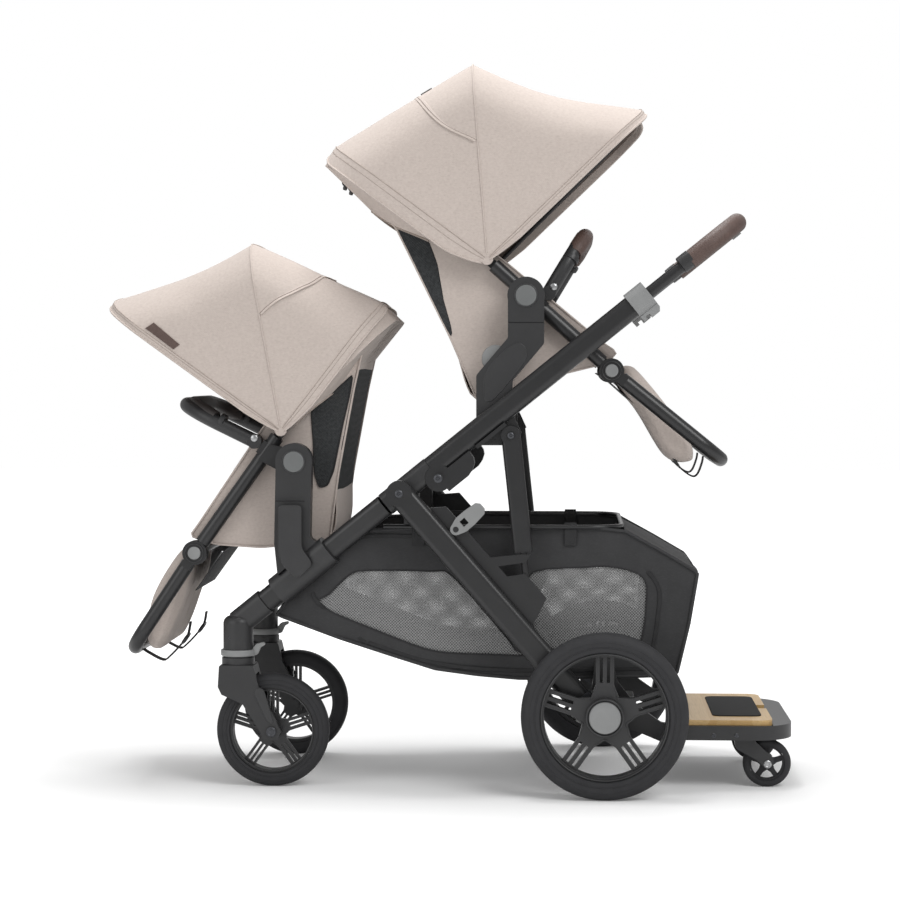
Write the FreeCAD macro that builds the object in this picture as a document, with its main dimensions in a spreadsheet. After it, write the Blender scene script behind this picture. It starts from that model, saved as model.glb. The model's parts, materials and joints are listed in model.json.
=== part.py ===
"""Twin stroller: a folding frame on four wheels, two seats that face apart, and a riding board behind.

Frame: +X to the rear, +Z up, left side at -Y. The origin is on the floor, under the middle of the object.
"""
import FreeCAD, Part
import os
import re
import Sketcher
from FreeCAD import Vector

# Sizes in millimetres and degrees, one group for each sub-assembly.
# A place along the frame is measured from the fold joint, up the slope of the main tubes.
# A place on a seat is measured from its hub, forwards and upwards as the child faces.
# A size in words follows from others.
GENERAL = {
    "axle_x": 277,
    "gap": 0.3,
    "pivot_play": 0.2,
    "overrun": 6,
    "edge_round": 3,
}
FRAME = {
    "joint_x": -306,
    "joint_z": 575,
    "frame_slope": 38.8,
    "frame_half": 238,
    "tube_height": 40,
    "tube_depth": 26,
    "tube_wall": 2,
    "casting_length": 103,
    "casting_height": 42,
    "fold_pivot_drop": 22,
    "fold_boss_radius": 24,
    "fold_pin_radius": 8,
    "fold_housing_length": 72,
    "fold_housing_height": 34,
    "upper_tube_length": 453,
    "inner_plate_depth": 34.7,
    "inner_plate_height": 36,
    "receptacle_width": 64,
    "receptacle_height": 34,
    "receptacle_reach": 116,
    "receptacle_rise": 74,
    "rim_hanger_width": 26,
    "rim_hanger_place": 36,
    "crossbar_radius": 12,
    "crossbar_place": 66,
    "plug_length": 20,
    "track_length": 66,
    "track_height": 5,
    "track_depth": 8,
    "track_place": 86,
}
HANDLE = {
    "handle_radius": 10.7,
    "handle_wall": 1.5,
    "handle_tip": 694,
    "handle_inside": 300,
    "handle_bend": 78,
    "grip_start": 583,
    "grip_radius": 17,
    "collar_length": 38,
    "collar_height": 50,
    "collar_depth": 34,
    "hook_height": 14,
    "hook_depth": 18,
    "button_length": 44,
    "button_width": 15,
    "button_height": 5.5,
    "button_proud": 2.6,
}
LEGS = {
    "leg_pivot_back": 70,
    "leg_slope": 48.8,
    "leg_offset": 25,
    "leg_half": "frame_half + leg_offset",
    "leg_height": 46,
    "leg_depth": 22,
    "leg_wall": 2,
    "leg_end_gap": 49.3,
    "leg_length": "(leg_pivot_back * cos(frame_slope) - joint_x) * cos(leg_slope) - leg_end_gap"
                  " + (joint_z - leg_pivot_back * sin(frame_slope) - rear_radius) * sin(leg_slope)",
    "leg_pin_radius": 8,
    "leg_web_depth": 5,
    "leg_web_start": 46,
    "leg_web_length": 286,
    "leg_web_height": 56,
    "link_start": 180,
    "link_reach": 80,
    "axle_radius": 11,
    "stub_radius": 7.5,
    "axle_plate_radius": 25,
    "brace_top_along": 146,
    "brace_top_drop": 43,
    "brace_height": 34,
    "brace_depth": 13,
    "brace_wall": 2,
    "brace_length": 206,
    "brace_pin_radius": 7,
    "brace_foot_x": -136,
    "brace_foot_z": 361,
    "brace_rod_radius": 6,
    "brace_eye_radius": 13,
    "brace_play": 1,
    "bracket_depth": 7,
    "bracket_length": 62,
    "latch_place": 113,
    "latch_pivot_radius": 10,
    "latch_length": 62,
    "latch_width": 30,
    "latch_depth": 11,
    "latch_window": 12,
    "pedal_width": 74,
    "pedal_length": 58,
    "pedal_thickness": 9,
    "pedal_sleeve_radius": 17,
}
WHEELS = {
    "rear_offset": 39,
    "rear_half": "leg_half + rear_offset",
    "rear_radius": 146,
    "rear_tyre_width": 44,
    "rear_tyre_depth": 32,
    "rear_rim_depth": 8,
    "rear_rim_width": 32,
    "rear_hub_radius": 33,
    "rear_hub_width": 46,
    "rear_bore_radius": 7.7,
    "rear_spoke_width": 31,
    "rear_spoke_depth": 15,
    "rear_slot_width": 5.5,
    "front_half": 182,
    "front_radius": 101.5,
    "front_tyre_width": 34,
    "front_tyre_depth": 24,
    "front_rim_depth": 6,
    "front_rim_width": 26,
    "front_hub_radius": 17,
    "front_hub_width": 38,
    "front_bore_radius": 5.2,
    "front_spoke_width": 20,
    "front_spoke_depth": 12,
    "front_slot_width": 3.4,
    "spokes": 5,
}
CASTERS = {
    "caster_x": -657,
    "caster_trail": 63,
    "caster_radius": 27,
    "caster_ring_radius": 29.5,
    "caster_bottom": 220,
    "caster_ring_height": 12,
    "caster_top": 307,
    "caster_top_round": 14,
    "sleeve_length": 66,
    "sleeve_wall": 3.2,
    "tube_inset": 40,
    "stem_radius": 9,
    "stem_length": 34,
    "fork_length": 110,
    "fork_height": 138,
    "fork_width": 64,
    "fork_gap": 42,
    "fork_wheel_gap": 4.5,
    "front_axle_radius": 5,
    "front_bolt_radius": 9,
    "front_bolt_height": 3,
}
BASKET = {
    "basket_inset": 27,
    "basket_half": "frame_half - basket_inset",
    "basket_nose_half": 176,
    "basket_wall": 5,
    "basket_length": 754,
    "basket_height": 275,
    "basket_low_z": 199,
    "basket_nose_x": -588,
    "basket_nose_length": 108,
    "basket_taper": 100,
    "rim_radius": 4,
    "rim_bend": 60,
    "rim_front_x": -392,
    "rim_length": 424,
}
BOARD = {
    "board_pivot_x": 118,
    "board_pivot_z": 108,
    "board_inset": 36,
    "board_half": "board_arm_half - board_inset",
    "board_length": 205,
    "board_front_x": 134,
    "board_low_z": 88.5,
    "board_height": 25.5,
    "board_round": 72,
    "board_front_round": 12,
    "deck_inset": 12,
    "deck_length": 152,
    "deck_front_x": 150,
    "deck_thickness": 12,
    "deck_sink": 3,
    "deck_round": 24,
    "deck_notch": 22,
    "board_boss_radius": 12,
    "board_arm_inset": 35,
    "board_arm_half": "leg_half - board_arm_inset",
    "board_arm_depth": 14,
    "board_arm_length": 134,
    "board_arm_height": 142,
    "board_clamp_radius": 21,
    "board_caster_x": 252,
    "board_caster_inset": 42,
    "board_caster_half": "board_half - board_caster_inset",
    "board_caster_trail": 41,
    "board_fork_width": 40,
    "board_fork_gap": 25,
    "board_fork_height": 54,
    "board_fork_length": 72,
    "board_stem_radius": 7,
    "board_stem_length": 18,
    "board_wheel_radius": 43,
    "board_wheel_tyre_width": 20,
    "board_wheel_tyre_depth": 11,
    "board_wheel_rim_depth": 4,
    "board_wheel_rim_width": 15,
    "board_wheel_hub_radius": 10,
    "board_wheel_hub_width": 23,
    "board_wheel_bore_radius": 4.2,
    "board_wheel_spoke_width": 9,
    "board_wheel_spoke_depth": 8,
    "board_axle_radius": 4,
}
ADAPTERS = {
    "adapter_depth": 32,
    "adapter_inside": "frame_half - tube_depth / 2 - gap - inner_plate_depth",
    "adapter_head_radius": 33,
    "adapter_width": 64,
    "adapter_shift": 56,
    "adapter_kink": 75,
    "adapter_kink_height": 66,
    "adapter_tongue_width": 30,
    "adapter_tongue_depth": 12,
    "adapter_tongue_length": 20,
    "adapter_round": 10,
    "hub_button_radius": 19,
    "hub_button_height": 6.8,
    "hub_button_travel": 2.5,
    "hub_button_proud": 1.8,
    "hub_button_round": 2.4,
    "clamp_start": 96,
    "clamp_length": 124,
    "clamp_wall": 7,
    "clamp_bite": 3,
    "lower_arm_height": 146,
}
SEATS = {
    "rail_radius": 13,
    "rail_gap": 5,
    "rail_half": "adapter_inside - rail_gap - rail_radius",
    "seat_gap": 3.5,
    "seat_half": "rail_half - rail_radius - seat_gap",
    "seat_wall": 8,
    "hub_disc_radius": 25,
    "knee_radius": 22,
    "knee_play": 0.5,
    "knee_cap_radius": 11,
    "knee_cap_height": 2,
    "knee_tube_radius": 8,
    "knee_layer": 6.75,
    "knee_depth": 12.5,
    "knee_pin_radius": 5,
    "pivot_layer": 8.2,
    "pivot_depth": 9.6,
    "pivot_pin_radius": 3,
    "eye_radius": 8,
    "rail_neck": 10,
    "rail_stop": 16,
    "leg_rest_bend": 48,
    "calf_gap": 9,
    "calf_half": "rail_half - rail_radius - calf_gap",
    "bumper_radius": 13,
    "bumper_bend": 81,
    "bumper_inset": 3,
    "bumper_half": "rail_half - bumper_inset",
    "bumper_lift": 28,
    "saddle_width": 23.4,
    "back_radius": 7,
    "back_inset": 6,
    "back_half": "rail_half - back_inset",
    "back_bend": 80,
    "canopy_offset": 23.5,
    "canopy_half": "rail_half + canopy_offset",
    "canopy_shell": 3,
    "canopy_bend": 96,
    "canopy_start": 26,
    "canopy_split_angle": 0.04,
    "bow_radius": 4,
    "bow_gap": 0.5,
    "front_bow_half": "canopy_half - canopy_shell - bow_gap - bow_radius",
    "bow_space": 1,
    "mid_bow_half": "front_bow_half - 2 * bow_radius - bow_space",
    "bow_play": 5,
    "bow_inset_angle": 0.7,
    "upper_hub_x": -139,
    "upper_hub_z": 880,
    "upper_pivot_u": -70,
    "upper_pivot_w": 66,
    "upper_knee_u": 152,
    "upper_knee_w": -133,
    "upper_leg_rest_length": 253,
    "upper_leg_rest_angle": 129,
    "upper_back_reach": 334,
    "upper_back_angle": -56.5,
    "upper_front_angle": 45.6,
    "upper_mid_angle": -4.6,
    "upper_rear_angle": -55,
    "upper_front_reach": 386,
    "upper_mid_reach": 360,
    "upper_rear_reach": 350,
    "upper_bumper_along": 122,
    "upper_bumper_reach": 122,
    "upper_bumper_angle": 31,
    "upper_shell_length": 165,
    "upper_shell_height": 240,
    "upper_calf_length": 240,
    "lower_hub_x": -552,
    "lower_hub_z": 585,
    "lower_pivot_u": 26,
    "lower_pivot_w": 56,
    "lower_knee_u": 184,
    "lower_knee_w": -166,
    "lower_leg_rest_length": 211,
    "lower_leg_rest_angle": 146.4,
    "lower_back_reach": 270,
    "lower_back_angle": -42,
    "lower_front_angle": 53.8,
    "lower_mid_angle": 10.5,
    "lower_rear_angle": -40,
    "lower_front_reach": 391,
    "lower_mid_reach": 345,
    "lower_rear_reach": 285,
    "lower_bumper_along": 46,
    "lower_bumper_reach": 150,
    "lower_bumper_angle": 64,
    "lower_shell_length": 200,
    "lower_shell_height": 258,
    "lower_calf_length": 200,
}
SIZES = {**GENERAL, **FRAME, **HANDLE, **LEGS, **WHEELS, **CASTERS, **BASKET, **BOARD, **ADAPTERS, **SEATS}

# Outlines as shares of the length and height that they follow.
HOUSING_SHARES = [(0, 0), (1, 0), (0.98, 0.44), (0.92, 0.68), (0.78, 0.88), (0.6, 1), (0, 1)]
INNER_ARM_SHARES = [(0.5, -0.1), (0.5, 1), (-0.08, 0.92), (-0.5, 0.82), (-0.5, -0.1)]
BRACKET_SHARES = [(-0.5, 0), (0.42, 0), (0.28, 1), (-0.24, 1)]
HOOK_SHARES = [(0, 0), (0.02, 0.8), (0.2, 0.8), (0.2, 0.4), (0.42, 0.4), (0.42, 1), (0.86, 1), (1, 0.5),
               (1, 0)]
WEB_SHARES = [(0, 0), (0.09, 0.62), (0.66, 0.62), (0.72, 1.1), (0.92, 1.1), (0.97, 0.5), (1, 0)]
LINK_SHARES = [(-0.08, 0), (0.52, 0.84), (0.66, 1), (0.72, 0.8), (0.2, 0)]
LATCH_SHARES = [(-0.08, -0.3), (0.2, -0.5), (0.5, -0.5), (0.9, -0.42), (1, -0.2), (1, 0.2), (0.9, 0.42),
                (0.5, 0.5), (0.2, 0.5), (-0.08, 0.3)]
AXLE_PLATE_SHARES = [(-0.3, -0.94), (0.3, -0.94), (0.9, 0.3), (0.5, 0.84)]
SPOKE_SHARES = [(-1, 0.5, 0), (1, 0.5, 0), (0.5, 1.7, 0), (0.5, 0, 1.03), (-0.5, 0, 1.03), (-0.5, 1.7, 0)]
FORK_SHARES = [(-0.28, 1), (0.28, 1), (0.36, 0.74), (0.73, 0.15), (0.68, 0.04), (0.46, 0.03), (0.36, 0.18),
               (0.1, 0.5), (-0.24, 0.62), (-0.3, 0.72)]
BASKET_SIDE_SHARES = [(0, 0.4), (0.394, 0.051), (0.582, 0), (0.952, 0.025), (1, 0.705), (0.827, 0.974),
                      (0.155, 0.956)]
BASKET_HOLLOW_SHARES = [(0.011, 0.4094), (0.3954, 0.0689), (0.5822, 0.0182), (0.9465, 0.0428),
                        (1.0211, 1.1), (0.2035, 1.1)]
ARM_SHARES = [(-0.12, 0.65), (0.1, 0.65), (0.18, 0.36), (0.42, 0.08), (0.75, -0.14), (0.96, -0.17),
              (1, -0.3), (0.9, -0.39), (0.75, -0.38), (0.42, -0.25), (0.05, -0.18), (-0.16, -0.06),
              (-0.16, 0.3)]
BOARD_FORK_SHARES = [(-0.26, 1), (0.2, 1), (0.72, 0.36), (0.72, 0.14), (0.62, 0.04), (0.48, 0.06), (0.3, 0.3),
                     (-0.2, 0.66)]
CLAMP_SHARES = [0.16, 0.9]
UPPER_HUB_SHARES = [(-0.6, -0.6), (0.6, -0.6), (0.6, 0.6), (-0.6, 0.6)]
LOWER_HUB_SHARES = [(-0.5, -0.86), (0.9, -0.86), (2.7, 0.1), (1.9, 1.2), (0.4, 0.9)]
UPPER_SHELL_SHARES = [(-0.53, -0.79), (0.2, -0.61), (0.85, -0.5), (0.995, -0.42), (0.83, -0.36), (-0.22, 0.25),
                      (-1.72, 1.02), (-1.93, 0.94), (-1.42, 0.51), (-0.83, -0.31)]
UPPER_HOLLOW_SHARES = [(-0.44, -0.69), (0.2, -0.53), (0.83, -0.42), (1.2, 0.2), (-0.6, 1.8), (-1.9, 1.2),
                       (-1.83, 0.9), (-1.32, 0.49), (-0.73, -0.33)]
UPPER_CALF_SHARES = [(0.0455, 0.03), (0.13, 0.055), (0.46, -0.34), (0.64, -0.66), (0.61, -0.72), (0.45, -0.67),
                     (0.22, -0.3), (0.0455, -0.08)]
LOWER_SHELL_SHARES = [(-0.29, -0.565), (0.33, -0.61), (0.74, -0.59), (0.99, -0.53), (0.92, -0.47), (0.26, 0.29),
                      (-0.4, 0.94), (-0.64, 0.95), (-0.51, 0.5), (-0.37, -0.09)]
LOWER_HOLLOW_SHARES = [(-0.2, -0.49), (0.33, -0.53), (0.74, -0.51), (1.2, -0.1), (0.4, 1.4), (-0.5, 1.3),
                       (-0.56, 0.93), (-0.42, 0.48), (-0.29, -0.09)]
LOWER_CALF_SHARES = [(0.066, 0.03), (0.14, 0.05), (0.42, -0.42), (0.5, -0.864), (0.47, -0.948), (0.35, -0.906),
                     (0.12, -0.3), (0.066, -0.08)]
CUSHION_SHARES = [(-1, 0.72), (-0.93, 0.9), (-0.6, 1), (0, 1.04), (0.6, 1), (0.93, 0.9), (1, 0.72)]
TREAD_SHARE = 0.38
SAME_SHARE = 1e-6
SAG_SHARES = {"upper_front": 0.9, "upper_rear": 0.938, "lower_front": 0.953, "lower_rear": 0.91}
CAP_SHARE = 0.82
FLARE_SHARE = 1.8

doc = FreeCAD.newDocument("twin_stroller")
sheet = doc.addObject("Spreadsheet::Sheet", "sizes")
for row, (size_name, amount) in enumerate(SIZES.items(), 1):
    sheet.set(f"A{row}", size_name)
    sheet.setAlias(f"B{row}", size_name)
for row, amount in enumerate(SIZES.values(), 1):
    sheet.set(f"B{row}", f"={amount}" if isinstance(amount, str) else str(amount))
doc.recompute()

PIECES = {}


# Expressions
def bound(text):
    """The expression with each size's name pointed at its cell."""
    return re.sub(r"[a-z]\w*", lambda found: f"sizes.{found[0]}" if found[0] in SIZES else found[0], str(text))


def value(text):
    """What an expression comes to now."""
    return float(sheet.evalExpression(bound(text)))


def bind(thing, target, text):
    """Tie a property to the sheet."""
    thing.setExpression(target, bound(text))


def place(thing, x="0", y="0", z="0", yaw="0", pitch="0", roll="0"):
    """Put a piece at a point, turned about X, then Y, then Z."""
    bind(thing, "Placement", f"placement(vector({x}; {y}; {z}); rotation({yaw}; {pitch}; {roll}))")


def shaped(shares, length, height):
    """Outline points from shares of a length and a height."""
    return [(f"{across} * ({length})", f"{up} * ({height})") for across, up in shares]


def on_frame(along, above="0"):
    """Point of the frame's side view, measured up the main tube's slope from the fold joint."""
    return (f"(axle_x + joint_x + ({along}) * cos(frame_slope) - ({above}) * sin(frame_slope))",
            f"(joint_z + ({along}) * sin(frame_slope) + ({above}) * cos(frame_slope))")


def from_leg(along, beside="0"):
    """Point of the side view, measured down the rear leg from its pivot, and out towards the rear."""
    x, z = on_frame("-leg_pivot_back")
    return (f"({x} + ({along}) * cos(leg_slope) + ({beside}) * sin(leg_slope))",
            f"({z} - ({along}) * sin(leg_slope) + ({beside}) * cos(leg_slope))")


# Sketches and features
def new_body(name):
    """An empty body."""
    return doc.addObject("PartDesign::Body", name)


def sketch(body, role, offset="0", lean="0"):
    """A sketch on an origin plane, moved along its normal and leaned about its first axis."""
    drawing = body.newObject("Sketcher::SketchObject", body.Name + "_sketch")
    support = next(item for item in body.Origin.OriginFeatures if item.Role == role)
    drawing.AttachmentSupport = [(support, "")]
    drawing.MapMode = "FlatFace"
    bind(drawing, ".AttachmentOffset", f"placement(vector(0; 0; {offset}); rotation(0; 0; {lean}))")
    return drawing


def fix(drawing, kind, where, text):
    """A dimension that follows an expression."""
    number = drawing.addConstraint(Sketcher.Constraint(kind, *where, value(text)))
    bind(drawing, f"Constraints[{number}]", text)


def tie(drawing, kind, *where):
    """A constraint without a dimension."""
    drawing.addConstraint(Sketcher.Constraint(kind, *where))


def polygon(drawing, points):
    """A closed run of straight lines."""
    spots = [Vector(value(x), value(y), 0) for x, y in points]
    lines = [drawing.addGeometry(Part.LineSegment(a, b)) for a, b in zip(spots, spots[1:] + spots[:1])]
    for line, after in zip(lines, lines[1:] + lines[:1]):
        tie(drawing, "Coincident", line, 2, after, 1)
    for line, (x, y) in zip(lines, points):
        fix(drawing, "DistanceX", (line, 1), x)
        fix(drawing, "DistanceY", (line, 1), y)


def circle(drawing, radius, x="0", y="0"):
    """A full circle."""
    ring = drawing.addGeometry(Part.Circle(Vector(value(x), value(y), 0), Vector(0, 0, 1), value(radius)))
    fix(drawing, "Radius", (ring,), radius)
    fix(drawing, "DistanceX", (ring, 3), x)
    fix(drawing, "DistanceY", (ring, 3), y)


def oval(drawing, length, width):
    """A slot outline about the origin, long along the sketch's first axis."""
    radius = value(width) / 2
    half = value(length) / 2 - radius
    turn = Vector(0, 0, 1)
    quarter = value("pi / 2")
    top = drawing.addGeometry(Part.LineSegment(Vector(-half, radius, 0), Vector(half, radius, 0)))
    right = drawing.addGeometry(Part.ArcOfCircle(Part.Circle(Vector(half, 0, 0), turn, radius), -quarter, quarter))
    low = drawing.addGeometry(Part.LineSegment(Vector(half, -radius, 0), Vector(-half, -radius, 0)))
    left = drawing.addGeometry(Part.ArcOfCircle(Part.Circle(Vector(-half, 0, 0), turn, radius),
                                                quarter, 3 * quarter))
    tie(drawing, "Tangent", top, 2, right, 2)
    tie(drawing, "Tangent", right, 1, low, 1)
    tie(drawing, "Tangent", low, 2, left, 2)
    tie(drawing, "Tangent", left, 1, top, 1)
    tie(drawing, "Horizontal", top)
    tie(drawing, "Symmetric", right, 3, left, 3, -1, 1)
    fix(drawing, "Radius", (right,), f"({width}) / 2")
    fix(drawing, "DistanceX", (left, 3, right, 3), f"({length}) - ({width})")


def arch(drawing, width, reach, bend, start="0"):
    """An open U that stands on the first axis: two legs, two bends and a top. Returns its pieces in order."""
    half = value(width) / 2
    top = value(reach)
    radius = value(bend)
    low = value(start)
    turn = Vector(0, 0, 1)
    quarter = value("pi / 2")
    add = drawing.addGeometry
    leg = add(Part.LineSegment(Vector(-half, low, 0), Vector(-half, top - radius, 0)))
    near = add(Part.ArcOfCircle(Part.Circle(Vector(radius - half, top - radius, 0), turn, radius),
                                quarter, 2 * quarter))
    span = add(Part.LineSegment(Vector(radius - half, top, 0), Vector(half - radius, top, 0)))
    far = add(Part.ArcOfCircle(Part.Circle(Vector(half - radius, top - radius, 0), turn, radius), 0, quarter))
    last = add(Part.LineSegment(Vector(half, top - radius, 0), Vector(half, low, 0)))
    tie(drawing, "Tangent", leg, 2, near, 2)
    tie(drawing, "Tangent", near, 1, span, 1)
    tie(drawing, "Tangent", span, 2, far, 2)
    tie(drawing, "Tangent", far, 1, last, 1)
    tie(drawing, "Vertical", leg)
    tie(drawing, "Horizontal", span)
    tie(drawing, "Equal", near, far)
    tie(drawing, "Symmetric", leg, 1, last, 2, -2)
    fix(drawing, "Radius", (near,), bend)
    fix(drawing, "DistanceX", (leg, 1, last, 2), width)
    fix(drawing, "DistanceY", (span, 1), reach)
    return leg, near, span, far, last


def feature(body, kind, drawing, length="", symmetric=False, back=False):
    """A pad or a pocket."""
    made = body.newObject(f"PartDesign::{kind}", f"{body.Name}_{kind.lower()}")
    made.Profile = drawing
    if length:
        made.SideType = "Symmetric" if symmetric else "One side"
        made.Reversed = back
        bind(made, "Length", length)
    return made


def plate(body, points, middle, depth, corner="", corners=None):
    """Pad an outline of the side view to a depth across Y, with some or all of its corners rounded."""
    drawing = sketch(body, "XZ_Plane", f"-({middle})")
    polygon(drawing, points)
    made = feature(body, "Pad", drawing, depth, symmetric=True)
    if corner:
        round_corners(body, made, corners or points, corner)
    return made


def cushion(body, points, half):
    """A stuffed pad across Y: its outline swells from drawn-in sides to a crown over the middle."""
    middle = [f"({' + '.join(f'({point[axis]})' for point in points)}) / {len(points)}" for axis in (0, 1)]
    slices = []
    for across, size in CUSHION_SHARES:
        drawing = sketch(body, "XZ_Plane", f"{across} * {half}")
        polygon(drawing, [tuple(f"{centre} + {size} * (({spot}) - {centre})" for spot, centre in zip(point, middle))
                          for point in points])
        slices.append(drawing)
    loft = body.newObject("PartDesign::AdditiveLoft", f"{body.Name}_loft")
    loft.Profile = slices[0]
    loft.Sections = slices[1:]
    loft.Ruled = True
    return loft


def round_corners(body, made, points, radius):
    """Fillet the edges that run across Y through an outline's corners."""
    doc.recompute()
    spots = [(value(x), value(y)) for x, y in points]
    names = []
    for number, edge in enumerate(made.Shape.Edges, 1):
        ends = [(end.X, end.Z) for end in edge.Vertexes]
        if len(ends) == 2 and any(all(abs(x - a) + abs(z - b) < SAME_SHARE for x, z in ends) for a, b in spots):
            names.append(f"Edge{number}")
    fillet(body, made, names, radius)


def fillet(body, made, names, radius):
    """A fillet on named edges of a feature."""
    rounded = body.newObject("PartDesign::Fillet", f"{body.Name}_fillet")
    rounded.Base = (made, names)
    bind(rounded, "Radius", radius)
    return rounded


def round_rims(body, made, places, radius):
    """Fillet the edges that lie wholly at one of the given places across Y."""
    doc.recompute()
    spots = [value(spot) for spot in places]
    names = []
    for number, edge in enumerate(made.Shape.Edges, 1):
        box = edge.BoundBox
        if any(abs(box.YMin - spot) + abs(box.YMax - spot) < SAME_SHARE for spot in spots):
            names.append(f"Edge{number}")
    return fillet(body, made, names, radius)


def boss(body, x, z, radius, low, high, kind="Pad"):
    """A round boss or hole across Y, from one place to another."""
    drawing = sketch(body, "XZ_Plane", f"-(({low}) + ({high})) / 2")
    circle(drawing, radius, x, z)
    return feature(body, kind, drawing, f"({high}) - ({low})", symmetric=True)


def straight_tube(name, height, depth, wall, start, end):
    """A hollow oval tube along local Z, tall in the side view."""
    body = new_body(name)
    drawing = sketch(body, "XY_Plane", start)
    oval(drawing, height, depth)
    if wall:
        oval(drawing, f"{height} - 2 * ({wall})", f"{depth} - 2 * ({wall})")
    feature(body, "Pad", drawing, f"({end}) - ({start})")
    return body


def hoop(name, width, reach, bend, radius, bore="", start="0"):
    """A U of round tube that stands on local Y and reaches up local Z."""
    body = new_body(name)
    path = sketch(body, "YZ_Plane")
    legs = arch(path, width, reach, bend, start)
    fix(path, "DistanceY", (legs[0], 1), start)
    ring = sketch(body, "XY_Plane", start)
    circle(ring, radius, "0", f"-({width}) / 2")
    if bore:
        circle(ring, bore, "0", f"-({width}) / 2")
    made = feature(body, "AdditivePipe", ring)
    made.Spine = (path, [])
    return body


def revolve(body, outlines):
    """Turn outlines, each given as radius and place across, about local Y."""
    drawing = sketch(body, "XY_Plane")
    for points in outlines:
        polygon(drawing, points)
    made = feature(body, "Revolution", drawing)
    made.ReferenceAxis = (drawing, ["V_Axis"])
    return made


def box_points(left, right, low, high):
    """The corners of a rectangle."""
    return [(left, low), (right, low), (right, high), (left, high)]


def fused(name, parts):
    """One solid from several overlapping ones."""
    made = doc.addObject("Part::MultiFuse", name)
    made.Shapes = parts
    return made


def mirrored(source, name):
    """The right-hand copy of a left-hand piece."""
    made = doc.addObject("Part::Mirroring", name)
    made.Source = source
    made.Normal = Vector(0, 1, 0)
    return made


def keep(thing, label):
    """Count a piece among the sub-parts, under its own name."""
    thing.Label = label
    PIECES[label] = thing


def keep_both(source, label):
    """Keep a left-hand piece and its mirror as two sub-parts."""
    keep(source, label + "_left")
    keep(mirrored(source, label + "_mirror"), label + "_right")


def keep_pair(source, label):
    """Keep a left-hand piece and its mirror as one sub-part of two solids."""
    pair = doc.addObject("Part::Compound", label + "_pair")
    pair.Links = [source, mirrored(source, label + "_mirror")]
    keep(pair, label)


# Frame
CASTER_ALONG = "((caster_x - joint_x) / cos(frame_slope))"
FRONT_RUN = f"(-casting_length - gap - {CASTER_ALONG})"
FRONT_LENGTH = f"sqrt({FRONT_RUN}^2 + (frame_half - front_half)^2)"
FRONT_ROLL = f"asin((frame_half - front_half) / {FRONT_LENGTH})"
TUBE_PITCH = "90 - frame_slope"


def place_on_front_tube(body):
    """Stand a piece on the caster's axis, pointing up the left front tube."""
    x, z = on_frame(CASTER_ALONG)
    place(body, x, "-front_half", z, pitch=TUBE_PITCH, roll=FRONT_ROLL)


def place_on_upper_tube(body, side="-frame_half"):
    """Stand a piece at the fold joint, pointing up the upper tube, with local X square to it and down."""
    x, z = on_frame("0")
    place(body, x, side, z, pitch=TUBE_PITCH)


def from_joint(across, up):
    """Point of the upper tube's local side view that lies level and plumb distances from the fold joint."""
    return (f"(({across}) * sin(frame_slope) - ({up}) * cos(frame_slope))",
            f"(({across}) * cos(frame_slope) + ({up}) * sin(frame_slope))")


def upright_box(left, right, low, high):
    """A rectangle that stands plumb, in the upper tube's local side view."""
    return [from_joint(*corner) for corner in box_points(left, right, low, high)]


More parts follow.
